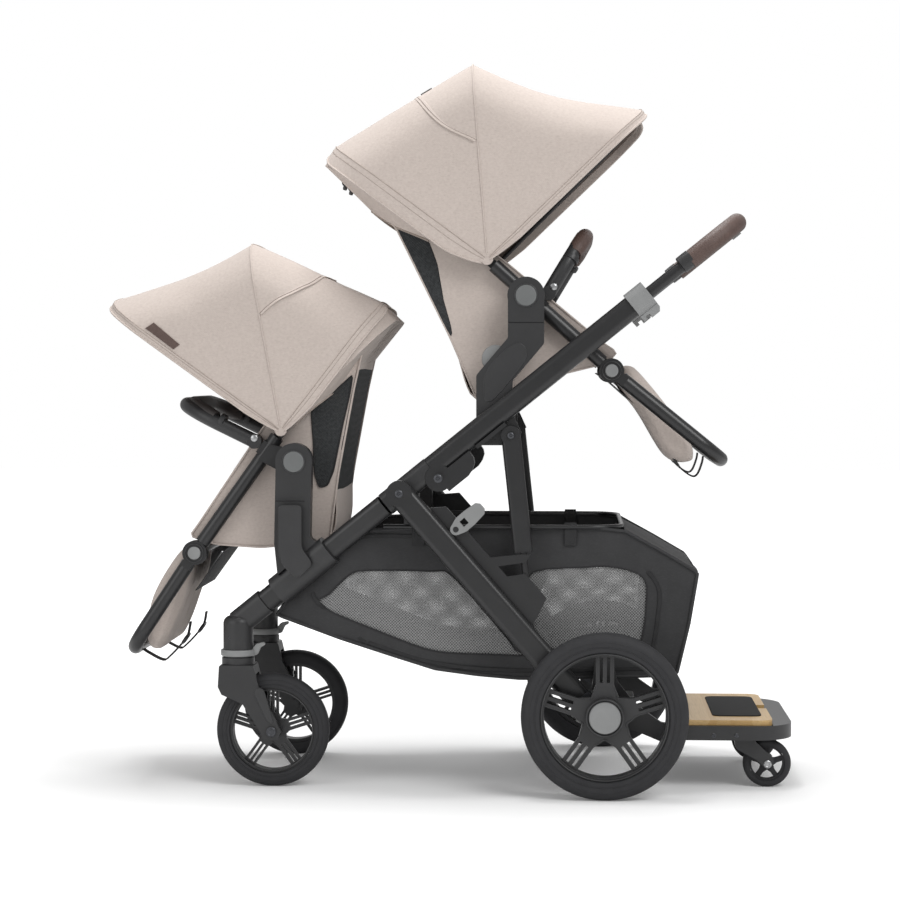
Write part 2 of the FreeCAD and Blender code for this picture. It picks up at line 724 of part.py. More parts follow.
def make_front_frame():
    """Front tubes, their crossbar and the joint castings with the seat receptacles."""
    tube = straight_tube("front_tube", "tube_height", "tube_depth", "tube_wall", "tube_inset",
                         f"{FRONT_LENGTH} - tube_depth / 2 * tan({FRONT_ROLL})")
    place_on_front_tube(tube)
    keep_both(tube, "front_tube")

    crossbar = new_body("front_crossbar")
    drawing = sketch(crossbar, "XZ_Plane")
    circle(drawing, "crossbar_radius")
    circle(drawing, "crossbar_radius - tube_wall")
    spread = f"(crossbar_place - crossbar_radius) * (frame_half - front_half) / {FRONT_RUN}"
    feature(crossbar, "Pad", drawing, f"2 * (front_half + {spread} - tube_depth / 2 - sleeve_wall - gap)",
            symmetric=True)
    x, z = on_frame(f"{CASTER_ALONG} + crossbar_place")
    place(crossbar, x, "0", z)
    keep(crossbar, "front_crossbar")

    casting = straight_tube("joint_casting", "casting_height", "tube_depth", "", "-casting_length", "-gap")
    inside = "tube_depth / 2 + gap + inner_plate_depth"
    inner = "(tube_depth / 2 + gap + inner_plate_depth / 2)"
    root = box_points("-inner_plate_height / 2", "inner_plate_height / 2", "-casting_length", "-gap")
    plate(casting, root, f"({inside}) / 2", inside)
    plate(casting, [(f"{x} * inner_plate_height", f"{z} * receptacle_reach") for x, z in INNER_ARM_SHARES],
          inner, "inner_plate_depth")
    middle = "(upper_hub_x - adapter_shift - joint_x)"
    cup = upright_box(f"{middle} - receptacle_width / 2", f"{middle} + receptacle_width / 2",
                      "receptacle_rise - receptacle_height", "receptacle_rise")
    plate(casting, cup, inner, "inner_plate_depth")
    mouth = upright_box(f"{middle} - adapter_tongue_width / 2 - gap", f"{middle} + adapter_tongue_width / 2 + gap",
                        "receptacle_rise - adapter_tongue_length - gap", "receptacle_rise + overrun")
    cut = sketch(casting, "XZ_Plane", f"-({inside} - adapter_depth / 2)")
    polygon(cut, mouth)
    feature(casting, "Pocket", cut, "adapter_tongue_depth + 2 * gap", symmetric=True)
    hanger = upright_box("-rim_hanger_place - rim_hanger_width / 2", "-rim_hanger_place + rim_hanger_width / 2",
                         "basket_low_z + basket_height + gap - joint_z",
                         "-rim_hanger_place * tan(frame_slope)")
    plate(casting, hanger, inner, "inner_plate_depth")
    boss(casting, "fold_pivot_drop", "0", "fold_boss_radius", "tube_depth / 2 + gap", inside)
    boss(casting, "fold_pivot_drop", "0", "fold_boss_radius + gap", "-tube_depth / 2 - overrun",
         "tube_depth / 2 + gap", "Pocket")
    boss(casting, "fold_pivot_drop", "0", "fold_pin_radius", "-tube_depth / 2", "tube_depth / 2 + 2 * gap")
    boss(casting, "0", "-leg_pivot_back", "leg_pin_radius", "frame_half - leg_half - leg_depth / 2",
         "-tube_depth / 2 + tube_wall")
    place_on_upper_tube(casting)
    keep_pair(casting, "joint_castings")


def make_upper_tubes():
    """Upper tubes, each with its fold housing, handle plug, brace bracket and track."""
    tube = straight_tube("upper_tube", "tube_height", "tube_depth", "tube_wall", "gap", "upper_tube_length")
    plug = sketch(tube, "XY_Plane", "upper_tube_length - plug_length")
    oval(plug, "tube_height - tube_wall", "tube_depth - tube_wall")
    circle(plug, "handle_radius + pivot_play")
    feature(tube, "Pad", plug, "plug_length")
    edge = "(tube_height / 2 - tube_wall)"
    housing = [(f"{edge} + {up} * fold_housing_height", f"{along} * fold_housing_length")
               for along, up in HOUSING_SHARES]
    plate(tube, housing, "0", "tube_depth")
    boss(tube, "fold_pivot_drop", "0", "fold_boss_radius", "-tube_depth / 2", "tube_depth / 2")
    boss(tube, "fold_pivot_drop", "0", "fold_pin_radius + pivot_play", "-tube_depth", "tube_depth", "Pocket")
    bracket_drop = f"(brace_top_drop + brace_pin_radius + tube_wall - {edge})"
    bracket = [(f"{edge} + {up} * {bracket_drop}", f"brace_top_along + {along} * bracket_length")
               for along, up in BRACKET_SHARES]
    plate(tube, bracket, "(tube_depth - bracket_depth) / 2", "bracket_depth")
    boss(tube, "brace_top_drop", "brace_top_along", "brace_pin_radius",
         "tube_depth / 2 - bracket_depth - brace_play - brace_depth", "tube_depth / 2")
    track = box_points(edge, "tube_height / 2 + track_height", "track_place", "track_place + track_length")
    plate(tube, track, "(track_depth - tube_depth) / 2", "track_depth")
    place_on_upper_tube(tube)
    keep_both(tube, "upper_tube")


def make_handle():
    """Telescoping handlebar, its grip, the height button and the fold collars."""
    bar = hoop("handle_bar", "2 * frame_half", "handle_tip", "handle_bend", "handle_radius",
               "handle_radius - handle_wall", "handle_inside")
    place_on_upper_tube(bar, "0")
    keep(bar, "handle_bar")

    grip = hoop("handle_grip", "2 * frame_half", "handle_tip", "handle_bend", "grip_radius",
                "handle_radius + gap", "grip_start")
    seat = sketch(grip, "XZ_Plane")
    polygon(seat, box_points("handle_radius + 2 * gap", "grip_radius + overrun",
                             "handle_tip - button_width / 2 - gap", "handle_tip + button_width / 2 + gap"))
    feature(grip, "Pocket", seat, "button_length + 2 * gap", symmetric=True)
    place_on_upper_tube(grip, "0")
    keep(grip, "handle_grip")

    button = new_body("handle_button")
    crown = "grip_radius + button_proud"
    block = box_points(f"{crown} - button_height", crown, "handle_tip - button_width / 2",
                       "handle_tip + button_width / 2")
    plate(button, block, "0", "button_length")
    place_on_upper_tube(button, "0")
    keep(button, "handle_button")

    collar = new_body("fold_collar")
    ring = sketch(collar, "XY_Plane", "upper_tube_length + gap")
    oval(ring, "collar_height", "collar_depth")
    circle(ring, "handle_radius + pivot_play")
    feature(collar, "Pad", ring, "collar_length")
    hook = [(f"collar_height / 2 - tube_wall + {down} * hook_height",
             f"upper_tube_length + gap + {along} * collar_length") for along, down in HOOK_SHARES]
    plate(collar, hook, "0", "hook_depth")
    place_on_upper_tube(collar)
    keep_pair(collar, "fold_collars")


BRACE_TOP = on_frame("brace_top_along", "-brace_top_drop")
BRACE_RUN = (f"(axle_x + brace_foot_x - {BRACE_TOP[0]})", f"(brace_foot_z - {BRACE_TOP[1]})")
BRACE_SPAN = f"sqrt({BRACE_RUN[0]}^2 + {BRACE_RUN[1]}^2)"
LEG_PITCH = "90 + leg_slope"


def place_on_leg(body):
    """Hang a piece from the left leg's pivot, pointing down the leg, with local X towards the front."""
    x, z = on_frame("-leg_pivot_back")
    place(body, x, "-leg_half", z, pitch=LEG_PITCH)


def make_legs():
    """Rear legs with their webs and links, the braces and the storage latch."""
    leg = straight_tube("rear_leg", "leg_height", "leg_depth", "leg_wall", "0", "leg_length")
    boss(leg, "0", "0", "leg_height / 2", "-leg_depth / 2", "leg_depth / 2")
    boss(leg, "0", "0", "leg_pin_radius + pivot_play", "-leg_depth", "leg_depth", "Pocket")
    web_middle = "(leg_depth + leg_web_depth - leg_wall) / 2"
    web_depth = "leg_web_depth + leg_wall"
    web = [(f"-(leg_height / 4 + {out} * leg_web_height)", f"leg_web_start + {along} * leg_web_length")
           for along, out in WEB_SHARES]
    plate(leg, web, web_middle, web_depth, "edge_round", web[1:5])
    link = [(f"-(leg_height / 2 + {out} * link_reach)", f"link_start + {along} * link_reach")
            for along, out in LINK_SHARES]
    plate(leg, link, web_middle, web_depth)
    boss(leg, "-(leg_height / 2 + latch_pivot_radius + gap)", "latch_place", "latch_pivot_radius / 2",
         "leg_depth / 2 - leg_wall - gap - latch_depth", "leg_depth / 2")
    place_on_leg(leg)
    keep_both(leg, "rear_leg")

    latch = new_body("storage_latch")
    out = "-(leg_height / 2 + latch_pivot_radius + gap)"
    middle = "(leg_depth / 2 - leg_wall - gap - latch_depth / 2)"
    shape = [(f"{out} - {reach} * latch_length", f"latch_place + {across} * latch_width")
             for reach, across in LATCH_SHARES]
    plate(latch, shape, middle, "latch_depth", "edge_round")
    low = f"{middle} - latch_depth"
    high = f"{middle} + latch_depth"
    boss(latch, out, "latch_place", "latch_pivot_radius", f"{middle} - latch_depth / 2",
         f"{middle} + latch_depth / 2")
    boss(latch, out, "latch_place", "latch_pivot_radius / 2 + pivot_play", low, high, "Pocket")
    window = sketch(latch, "XZ_Plane", f"-{middle}")
    near = f"{out} - latch_pivot_radius - latch_window / 4"
    polygon(window, box_points(f"{near} - latch_window", near, "latch_place - latch_window / 2",
                               "latch_place + latch_window / 2"))
    feature(latch, "Pocket", window, "2 * latch_depth", symmetric=True)
    place_on_leg(latch)
    keep(latch, "storage_latch")

    brace = straight_tube("brace", "brace_height", "brace_depth", "brace_wall", "0", "brace_length")
    boss(brace, "0", "0", "brace_height / 2", "-brace_depth / 2", "brace_depth / 2")
    boss(brace, "0", "0", "brace_pin_radius + pivot_play", "-brace_depth", "brace_depth", "Pocket")
    rod = sketch(brace, "XY_Plane", "brace_length - brace_wall")
    oval(rod, "brace_height - brace_wall", "brace_depth - brace_wall")
    feature(brace, "Pad", rod, "2 * brace_wall")
    rod = sketch(brace, "XY_Plane", "brace_length")
    circle(rod, "brace_rod_radius")
    feature(brace, "Pad", rod, f"{BRACE_SPAN} - brace_length")
    boss(brace, "0", BRACE_SPAN, "brace_eye_radius", "-brace_depth / 2", "brace_depth / 2")
    side = "-(frame_half - tube_depth / 2 + bracket_depth + brace_play + brace_depth / 2)"
    place(brace, BRACE_TOP[0], side, BRACE_TOP[1], pitch=f"atan2({BRACE_RUN[0]}; {BRACE_RUN[1]})")
    keep_pair(brace, "braces")


def make_axle():
    """Rear axle with its end plates, and the brake pedal on it."""
    axle = new_body("rear_axle")
    boss(axle, "0", "0", "axle_radius", "-leg_half", "leg_half")
    reach = "(rear_half + rear_hub_width / 6)"
    boss(axle, "0", "0", "stub_radius", f"-{reach}", reach)
    top = from_leg("leg_length + gap", "leg_height / 2 - leg_wall")
    low = from_leg("leg_length + gap", "leg_wall - leg_height / 2")
    outline = [(f"{x} - axle_x", f"{z} - rear_radius") for x, z in (top, low)]
    outline += shaped(AXLE_PLATE_SHARES, "axle_plate_radius", "axle_plate_radius")
    for side in ("-leg_half", "leg_half"):
        plate(axle, outline, side, "leg_depth", "edge_round")
        boss(axle, "0", "0", "axle_plate_radius", f"{side} - leg_depth / 2", f"{side} + leg_depth / 2")
    place(axle, "axle_x", "0", "rear_radius")
    keep(axle, "rear_axle")

    pedal = new_body("brake_pedal")
    boss(pedal, "0", "0", "pedal_sleeve_radius", "-pedal_width / 2", "pedal_width / 2")
    tread = box_points("0", "pedal_length", "-pedal_thickness", "0")
    plate(pedal, tread, "0", "pedal_width", "edge_round")
    boss(pedal, "0", "0", "axle_radius + pivot_play", "-pedal_width", "pedal_width", "Pocket")
    place(pedal, "axle_x", "0", "rear_radius")
    keep(pedal, "brake_pedal")


def make_wheel(kind, closed):
    """Tyre and rim of one wheel about local Y. A closed hub carries a cap on its outer end."""
    tyre = new_body(f"{kind}_tyre")
    seat = f"({kind}_radius - {kind}_tyre_depth)"
    half = f"{kind}_tyre_width / 2"
    tread = revolve(tyre, [box_points(seat, f"{kind}_radius", f"-{half}", half)])
    doc.recompute()
    names = []
    for number, edge in enumerate(tread.Shape.Edges, 1):
        box = edge.BoundBox
        if abs(box.XMax - value(f"{kind}_radius")) < SAME_SHARE and box.YLength < SAME_SHARE:
            names.append(f"Edge{number}")
    fillet(tyre, tread, names, f"{kind}_tyre_width * {TREAD_SHARE}")

    rim = new_body(f"{kind}_rim")
    hub = f"{kind}_hub_width / 2"
    bore = f"{kind}_bore_radius"
    outline = box_points(bore, f"{kind}_hub_radius", f"-{hub}", hub)
    if closed:
        floor = f"{kind}_hub_width / 4"
        outline = [("0", f"-{hub}"), (f"{kind}_hub_radius * {CAP_SHARE}", f"-{hub}"),
                   (f"{kind}_hub_radius", f"-{hub} + edge_round"), (f"{kind}_hub_radius", hub), (bore, hub),
                   (bore, f"-{floor}"), ("0", f"-{floor}")]
    revolve(rim, [outline])
    spoke = sketch(rim, "XZ_Plane")
    inside = f"({seat} - {kind}_rim_depth)"
    width = f"{kind}_spoke_width"
    polygon(spoke, [(f"{x} * {width}", f"{kind}_hub_radius * {z0} + {inside} * {z1}")
                    for x, z0, z1 in SPOKE_SHARES])
    if f"{kind}_slot_width" in SIZES:
        for side in (-1, 1):
            middle = f"({side} * {width} / 5)"
            gap_half = f"{kind}_slot_width / 2"
            polygon(spoke, box_points(f"{middle} - {gap_half}", f"{middle} + {gap_half}",
                                      f"{kind}_hub_radius * {FLARE_SHARE}", f"{inside} - {gap_half}"))
    arm = feature(rim, "Pad", spoke, f"{kind}_spoke_depth", symmetric=True)
    doc.recompute()
    pattern = rim.newObject("PartDesign::PolarPattern", f"{kind}_spokes")
    pattern.Originals = [arm]
    pattern.Axis = (next(item for item in rim.Origin.OriginFeatures if item.Role == "Y_Axis"), [""])
    bind(pattern, "Occurrences", "spokes")
    rim.Tip = pattern
    half = f"{kind}_rim_width / 2"
    band = revolve(rim, [box_points(inside, f"{seat} - gap", f"-{half}", half)])
    rim.Tip = band
    return tyre, rim


def make_wheels():
    """The four main wheels."""
    for part, kind in zip(make_wheel("rear", True), ("tyre", "rim")):
        place(part, "axle_x", "-rear_half", "rear_radius")
        keep_both(part, f"rear_{kind}")
    for part, kind in zip(make_wheel("front", False), ("tyre", "rim")):
        place(part, "axle_x + caster_x + caster_trail", "-front_half", "front_radius")
        keep_both(part, f"front_{kind}")


def make_casters():
    """Caster housings with the front tubes' sleeves, and the swivelling forks."""
    housing = new_body("caster_housing")
    barrel = sketch(housing, "XY_Plane", "caster_bottom + caster_ring_height")
    circle(barrel, "caster_radius")
    made = feature(housing, "Pad", barrel, "caster_top - caster_bottom - caster_ring_height")
    doc.recompute()
    top = value("caster_top")
    names = [f"Edge{number}" for number, edge in enumerate(made.Shape.Edges, 1)
             if edge.BoundBox.ZMin > top - SAME_SHARE]
    fillet(housing, made, names, "caster_top_round")
    ring = sketch(housing, "XY_Plane", "caster_bottom")
    circle(ring, "caster_ring_radius")
    feature(housing, "Pad", ring, "caster_ring_height")
    well = sketch(housing, "XY_Plane", "caster_bottom - overrun")
    circle(well, "stem_radius + pivot_play")
    feature(housing, "Pocket", well, "overrun + stem_length + gap", back=True)
    place(housing, "axle_x + caster_x", "-front_half", "0")

    outer = ("tube_height + 2 * sleeve_wall", "tube_depth + 2 * sleeve_wall")
    sleeve = straight_tube("caster_sleeve", *outer, "", "0", "tube_inset - gap")
    cuff = sketch(sleeve, "XY_Plane", "tube_inset - gap")
    oval(cuff, *outer)
    oval(cuff, "tube_height + 2 * gap", "tube_depth + 2 * gap")
    feature(sleeve, "Pad", cuff, "sleeve_length - tube_inset")
    place_on_front_tube(sleeve)
    keep_pair(fused("caster_body", [housing, sleeve]), "caster_housings")

    fork = new_body("front_fork")
    top = "(caster_bottom - gap)"
    outline = [(f"{x} * fork_length", f"{top} - (1 - {z}) * fork_height") for x, z in FORK_SHARES]
    plate(fork, outline, "0", "fork_width", "edge_round")
    well = sketch(fork, "XZ_Plane")
    circle(well, "front_radius + fork_wheel_gap", "caster_trail", "front_radius")
    feature(fork, "Pocket", well, "fork_gap", symmetric=True)
    stem = sketch(fork, "XY_Plane", f"{top} - stem_radius")
    circle(stem, "stem_radius")
    feature(fork, "Pad", stem, "stem_radius + stem_length")
    half = "fork_width / 2"
    boss(fork, "caster_trail", "front_radius", "front_axle_radius", f"-{half}", half)
    for low, high in ((f"-{half} - front_bolt_height", f"-{half} + gap"),
                      (f"{half} - gap", f"{half} + front_bolt_height")):
        boss(fork, "caster_trail", "front_radius", "front_bolt_radius", low, high)
    place(fork, "axle_x + caster_x", "-front_half", "0")
    keep_both(fork, "front_fork")


def basket_block(name, shares, half, nose_half):
    """A block of the basket's side outline with a narrow nose."""
    body = new_body(name)
    plate(body, shaped(shares, "basket_length", "basket_height"), "0", f"2 * ({half})")
    for side in ("-", ""):
        nose = sketch(body, "XY_Plane", "-overrun")
        polygon(nose, [("-overrun", f"{side}({nose_half})"),
                       ("basket_nose_length", f"{side}({nose_half})"),
                       ("basket_nose_length + basket_taper", f"{side}({half} + gap)"),
                       ("basket_nose_length + basket_taper", f"{side}({half} + overrun)"),
                       ("-overrun", f"{side}({half} + overrun)")])
        feature(body, "Pocket", nose, "2 * basket_height", back=True)
    place(body, "axle_x + basket_nose_x", "0", "basket_low_z")
    return body


def make_basket():
    """Open fabric basket with a narrow nose, and the rim tube that hangs it."""
    basket = doc.addObject("Part::Cut", "basket")
    basket.Base = basket_block("basket_outside", BASKET_SIDE_SHARES, "basket_half", "basket_nose_half")
    basket.Tool = basket_block("basket_inside", BASKET_HOLLOW_SHARES, "basket_half - basket_wall",
                               "basket_nose_half - basket_wall")
    keep(basket, "basket_fabric")

    rim = hoop("basket_rim", "2 * (basket_half + gap + rim_radius)", "rim_length", "rim_bend", "rim_radius")
    place(rim, "axle_x + rim_front_x", "0", "basket_low_z + basket_height - rim_radius", pitch="90")
    keep(rim, "basket_rim")


def make_board():
    """Riding board: arms clamped to the axle, a tray that folds up, its deck and two casters."""
    arm = new_body("board_arm")
    plate(arm, shaped(ARM_SHARES, "board_arm_length", "board_arm_height"), "0", "board_arm_depth",
          "2 * edge_round")
    boss(arm, "0", "0", "board_clamp_radius", "-board_arm_depth / 2", "board_arm_depth / 2")
    pivot = ("board_pivot_x", "board_pivot_z - rear_radius")
    boss(arm, *pivot, "board_boss_radius + board_stem_radius / 2", "-board_arm_depth / 2", "board_arm_depth / 2")
    boss(arm, "0", "0", "axle_radius + pivot_play", "-board_arm_depth", "board_arm_depth", "Pocket")
    boss(arm, *pivot, "board_stem_radius + pivot_play", "-board_arm_depth", "board_arm_depth", "Pocket")
    place(arm, "axle_x", "-board_arm_half", "rear_radius")
    keep_pair(arm, "board_arms")

    tray = new_body("board_frame")
    back = "board_front_x + board_length"
    plan = sketch(tray, "XY_Plane", "board_low_z")
    polygon(plan, box_points("board_front_x", back, "-board_half", "board_half"))
    made = feature(tray, "Pad", plan, "board_height")
    doc.recompute()
    made = round_plan(tray, made, [(back, "board_half")], "board_round")
    round_plan(tray, made, [("board_front_x", "board_half")], "board_front_round")
    bed = sketch(tray, "XY_Plane", "board_low_z + board_height - deck_sink")
    polygon(bed, box_points("deck_front_x - gap", "deck_front_x + deck_length + gap",
                            "-board_half + deck_inset - gap", "board_half - deck_inset + gap"))
    feature(tray, "Pocket", bed, "deck_sink + overrun", back=True)
    for side in ("-", ""):
        ear = f"({side}(board_half - board_boss_radius / 2))"
        lug = box_points("board_pivot_x", "board_front_x + board_boss_radius",
                         "board_pivot_z - board_boss_radius", "board_pivot_z + board_boss_radius / 3")
        plate(tray, lug, ear, "board_boss_radius")
        boss(tray, "board_pivot_x", "board_pivot_z", "board_boss_radius", f"{ear} - board_boss_radius / 2",
             f"{ear} + board_boss_radius / 2")
        pin = f"({side}(board_half + board_arm_half + board_arm_depth / 2) / 2)"
        reach = "(board_arm_half + board_arm_depth / 2 - board_half + gap) / 2"
        boss(tray, "board_pivot_x", "board_pivot_z", "board_stem_radius", f"{pin} - {reach}", f"{pin} + {reach}")
        well = sketch(tray, "XY_Plane", "board_low_z - overrun")
        circle(well, "board_stem_radius + pivot_play", "board_caster_x", f"{side}board_caster_half")
        feature(tray, "Pocket", well, "overrun + board_stem_length + gap", back=True)
    place(tray, "axle_x")
    keep(tray, "board_frame")

    deck = new_body("board_deck")
    plan = sketch(deck, "XY_Plane", "board_low_z + board_height - deck_sink")
    back = "deck_front_x + deck_length"
    half = "board_half - deck_inset"
    polygon(plan, box_points("deck_front_x", back, f"-({half})", half))
    made = feature(deck, "Pad", plan, "deck_thickness")
    doc.recompute()
    round_plan(deck, made, [(back, half)], "deck_round")
    notch = sketch(deck, "XY_Plane", "board_low_z")
    polygon(notch, box_points(f"{back} - deck_notch", f"{back} + overrun", "-deck_notch", "deck_notch"))
    feature(deck, "Pocket", notch, "board_height + deck_thickness", back=True)
    place(deck, "axle_x")
    keep(deck, "board_deck")

    fork = new_body("board_caster")
    top = "(board_low_z - gap)"
    outline = [(f"{x} * board_fork_length", f"{top} - (1 - {z}) * board_fork_height")
               for x, z in BOARD_FORK_SHARES]
    plate(fork, outline, "0", "board_fork_width", "edge_round")
    well = sketch(fork, "XZ_Plane")
    circle(well, "board_wheel_radius + edge_round", "board_caster_trail", "board_wheel_radius")
    feature(fork, "Pocket", well, "board_fork_gap", symmetric=True)
    stem = sketch(fork, "XY_Plane", f"{top} - board_stem_radius / 2")
    circle(stem, "board_stem_radius")
    feature(fork, "Pad", stem, "board_stem_radius / 2 + board_stem_length")
    boss(fork, "board_caster_trail", "board_wheel_radius", "board_axle_radius", "-board_fork_width / 2",
         "board_fork_width / 2")
    place(fork, "axle_x + board_caster_x", "-board_caster_half", "0")
    keep_both(fork, "board_caster")

    tyre, rim = make_wheel("board_wheel", False)
    for part in (tyre, rim):
        place(part, "axle_x + board_caster_x + board_caster_trail", "-board_caster_half", "board_wheel_radius")
    wheel = doc.addObject("Part::Compound", "board_wheel")
    wheel.Links = [tyre, rim]
    keep_both(wheel, "board_wheel")


def round_plan(body, made, spots, radius):
    """Fillet the plumb edges at plan corners, on both sides of the middle."""
    doc.recompute()
    names = []
    for number, edge in enumerate(made.Shape.Edges, 1):
        box = edge.BoundBox
        if box.XLength + box.YLength < SAME_SHARE and any(
                abs(box.XMin - value(x)) + abs(abs(box.YMin) - value(y)) < SAME_SHARE for x, y in spots):
            names.append(f"Edge{number}")
    return fillet(body, made, names, radius)


def make_adapters():
    """Posts that carry the seats' hubs: one pair in the receptacles, one pair clamped on the front tubes."""
    side = "-(adapter_inside + adapter_depth / 2)"
    face = "-adapter_depth / 2"
    half = "adapter_width / 2"
    foot = "(joint_z + receptacle_rise + gap - upper_hub_z)"
    post = new_body("upper_adapter")
    outline = [(f"-{half}", "0"), (f"-{half}", "-adapter_kink"),
               (f"-{half} - adapter_shift", "-adapter_kink - adapter_kink_height"),
               (f"-{half} - adapter_shift", foot), (f"{half} - adapter_shift", foot),
               (f"{half} - adapter_shift", "-adapter_kink - adapter_kink_height - adapter_round"),
               (half, "-adapter_kink - adapter_round"), (half, "0")]
    made = plate(post, outline, "0", "adapter_depth")
    round_corners(post, made, outline[1:3] + outline[5:7], "adapter_round")
    boss(post, "0", "0", "adapter_head_radius", face, "adapter_depth / 2")
    tongue = box_points("-adapter_shift - adapter_tongue_width / 2", "-adapter_shift + adapter_tongue_width / 2",
                        f"{foot} - adapter_tongue_length", foot)
    plate(post, tongue, "0", "adapter_tongue_depth")
    recess = f"{face} + hub_button_height + hub_button_travel"
    boss(post, "0", "0", "hub_button_radius + gap", f"{face} - overrun", recess, "Pocket")
    place(post, "axle_x + upper_hub_x", side, "upper_hub_z")
    keep_pair(post, "upper_adapters")

    arm = new_body("lower_adapter_arm")
    bite = "tube_height / 2 + clamp_bite + gap"
    bottom = [on_frame(f"{CASTER_ALONG} + clamp_start + clamp_length * {share}", bite) for share in CLAMP_SHARES]
    outline = [(f"-{half}", "0"), (f"-{half} - edge_round", "-lower_arm_height")]
    outline += [(f"{x} - axle_x - lower_hub_x", f"{z} - lower_hub_z") for x, z in bottom]
    outline += [(f"{half} - edge_round", "-lower_arm_height + adapter_round"), (half, "0")]
    made = plate(arm, outline, "0", "adapter_depth")
    round_corners(arm, made, outline[1:2] + outline[4:5], "adapter_round")
    boss(arm, "0", "0", "adapter_head_radius", face, "adapter_depth / 2")
    boss(arm, "0", "0", "hub_button_radius + gap", f"{face} - overrun", recess, "Pocket")
    place(arm, "axle_x + lower_hub_x", side, "lower_hub_z")
    clamp = new_body("lower_adapter_clamp")
    drawing = sketch(clamp, "XY_Plane", "clamp_start")
    oval(drawing, "tube_height + 2 * clamp_wall", "tube_depth + 2 * clamp_wall")
    oval(drawing, "tube_height + 2 * gap", "tube_depth + 2 * gap")
    feature(clamp, "Pad", drawing, "clamp_length")
    place_on_front_tube(clamp)
    keep_pair(fused("lower_adapter", [arm, clamp]), "lower_adapters")

    for seat in ("upper", "lower"):
        button = new_body(f"{seat}_hub_button")
        crown = "-(adapter_inside + adapter_depth + hub_button_proud)"
        made = boss(button, "0", "0", "hub_button_radius", crown, f"{crown} + hub_button_height")
        round_rims(button, made, [crown], "hub_button_round")
        place(button, f"axle_x + {seat}_hub_x", "0", f"{seat}_hub_z")
        keep_both(button, f"{seat}_hub_button")


# Seats
def rail_angle(seat):
    """Angle of a seat's rail above level, forwards."""
    return f"atan2({seat}_knee_w - {seat}_pivot_w; {seat}_knee_u - {seat}_pivot_u)"


def rail_length(seat):
    """From the canopy pivot to the knee."""
    return f"sqrt(({seat}_knee_u - {seat}_pivot_u)^2 + ({seat}_knee_w - {seat}_pivot_w)^2)"


def on_rail(seat, along, above):
    """Point of a seat's side view, measured down its rail from the canopy pivot, and square above it."""
    angle = rail_angle(seat)
    return (f"({seat}_pivot_u + ({along}) * cos({angle}) - ({above}) * sin({angle}))",
            f"({seat}_pivot_w + ({along}) * sin({angle}) + ({above}) * cos({angle}))")


def place_on_seat(body, seat, u="0", w="0", side="0", lean="0"):
    """Put a piece at a point of a seat's side view, leaned forwards from plumb."""
    sign, yaw = ("+", "0") if seat == "upper" else ("-", "180")
    place(body, f"axle_x + {seat}_hub_x {sign} ({u})", f"0 {sign} ({side})", f"{seat}_hub_z + ({w})", yaw=yaw,
          pitch=lean)


def make_seat_frame(seat):
    """Rails, hubs, knees and back hoop of one seat."""
    length = rail_length(seat)
    rails = []
    for side in ("-", ""):
        rail = new_body(f"{seat}_rail")
        drawing = sketch(rail, "XY_Plane", "rail_stop")
        circle(drawing, "rail_radius")
        feature(rail, "Pad", drawing, f"{length} - rail_stop - knee_radius - gap")
        knee_side = "knee_layer" if side == "-" else "-knee_layer"
        neck = box_points("-rail_neck", "rail_neck", f"{length} - knee_radius - rail_neck", length)
        plate(rail, neck, knee_side, "knee_depth")
        boss(rail, "0", length, "knee_radius", f"{knee_side} - knee_depth / 2", f"{knee_side} + knee_depth / 2")
        pivot_side = "pivot_layer" if side == "-" else "-pivot_layer"
        neck = box_points("-eye_radius", "eye_radius", "0", "rail_stop + rail_neck")
        plate(rail, neck, pivot_side, "pivot_depth")
        boss(rail, "0", "0", "eye_radius", f"{pivot_side} - pivot_depth / 2", f"{pivot_side} + pivot_depth / 2")
        saddle = box_points("-(bumper_lift - bumper_radius - gap)", "0", f"{seat}_bumper_along - bumper_radius",
                            f"{seat}_bumper_along + bumper_radius")
        plate(rail, saddle, "0", "saddle_width")
        pin_end = "rail_half - front_bow_half - bow_radius"
        pins = (pin_end, "pivot_layer") if side == "-" else ("-pivot_layer", f"-({pin_end})")
        boss(rail, "0", "0", "pivot_pin_radius", *pins)
        knee_pins = ("-rail_radius + gap", "knee_layer") if side == "-" else ("-knee_layer", "rail_radius - gap")
        boss(rail, "0", length, "knee_pin_radius", *knee_pins)
        place_on_seat(rail, seat, f"{seat}_pivot_u", f"{seat}_pivot_w", f"{side}rail_half",
                      f"atan2({seat}_knee_u - {seat}_pivot_u; {seat}_knee_w - {seat}_pivot_w)")
        rails.append(rail)
    inner = "(rail_half - rail_radius / 2)"
    outer = "(adapter_inside - knee_play)"
    shares = UPPER_HUB_SHARES if seat == "upper" else LOWER_HUB_SHARES
    hubs = []
    for side in ("-", ""):
        hub = new_body(f"{seat}_hub")
        low, high = (f"-{outer}", f"-{inner}") if side == "-" else (inner, outer)
        plate(hub, shaped(shares, "hub_disc_radius", "hub_disc_radius"), f"({low} + {high}) / 2",
              f"{outer} - {inner}")
        boss(hub, "0", "0", "hub_disc_radius", low, high)
        place_on_seat(hub, seat)
        hubs.append(hub)
    knees = new_body(f"{seat}_knees")
    reach = "(rail_half - knee_play)"
    boss(knees, "0", "0", "knee_tube_radius", f"-{reach}", reach)
    place_on_seat(knees, seat, f"{seat}_knee_u", f"{seat}_knee_w")
    back = hoop(f"{seat}_back", "2 * back_half", f"{seat}_back_reach", "back_bend", "back_radius")
    place_on_seat(back, seat, f"{seat}_pivot_u", f"{seat}_pivot_w", lean=f"{seat}_back_angle")
    keep(fused(f"{seat}_frame_solid", rails + hubs + [knees, back]), f"{seat}_seat_frame")


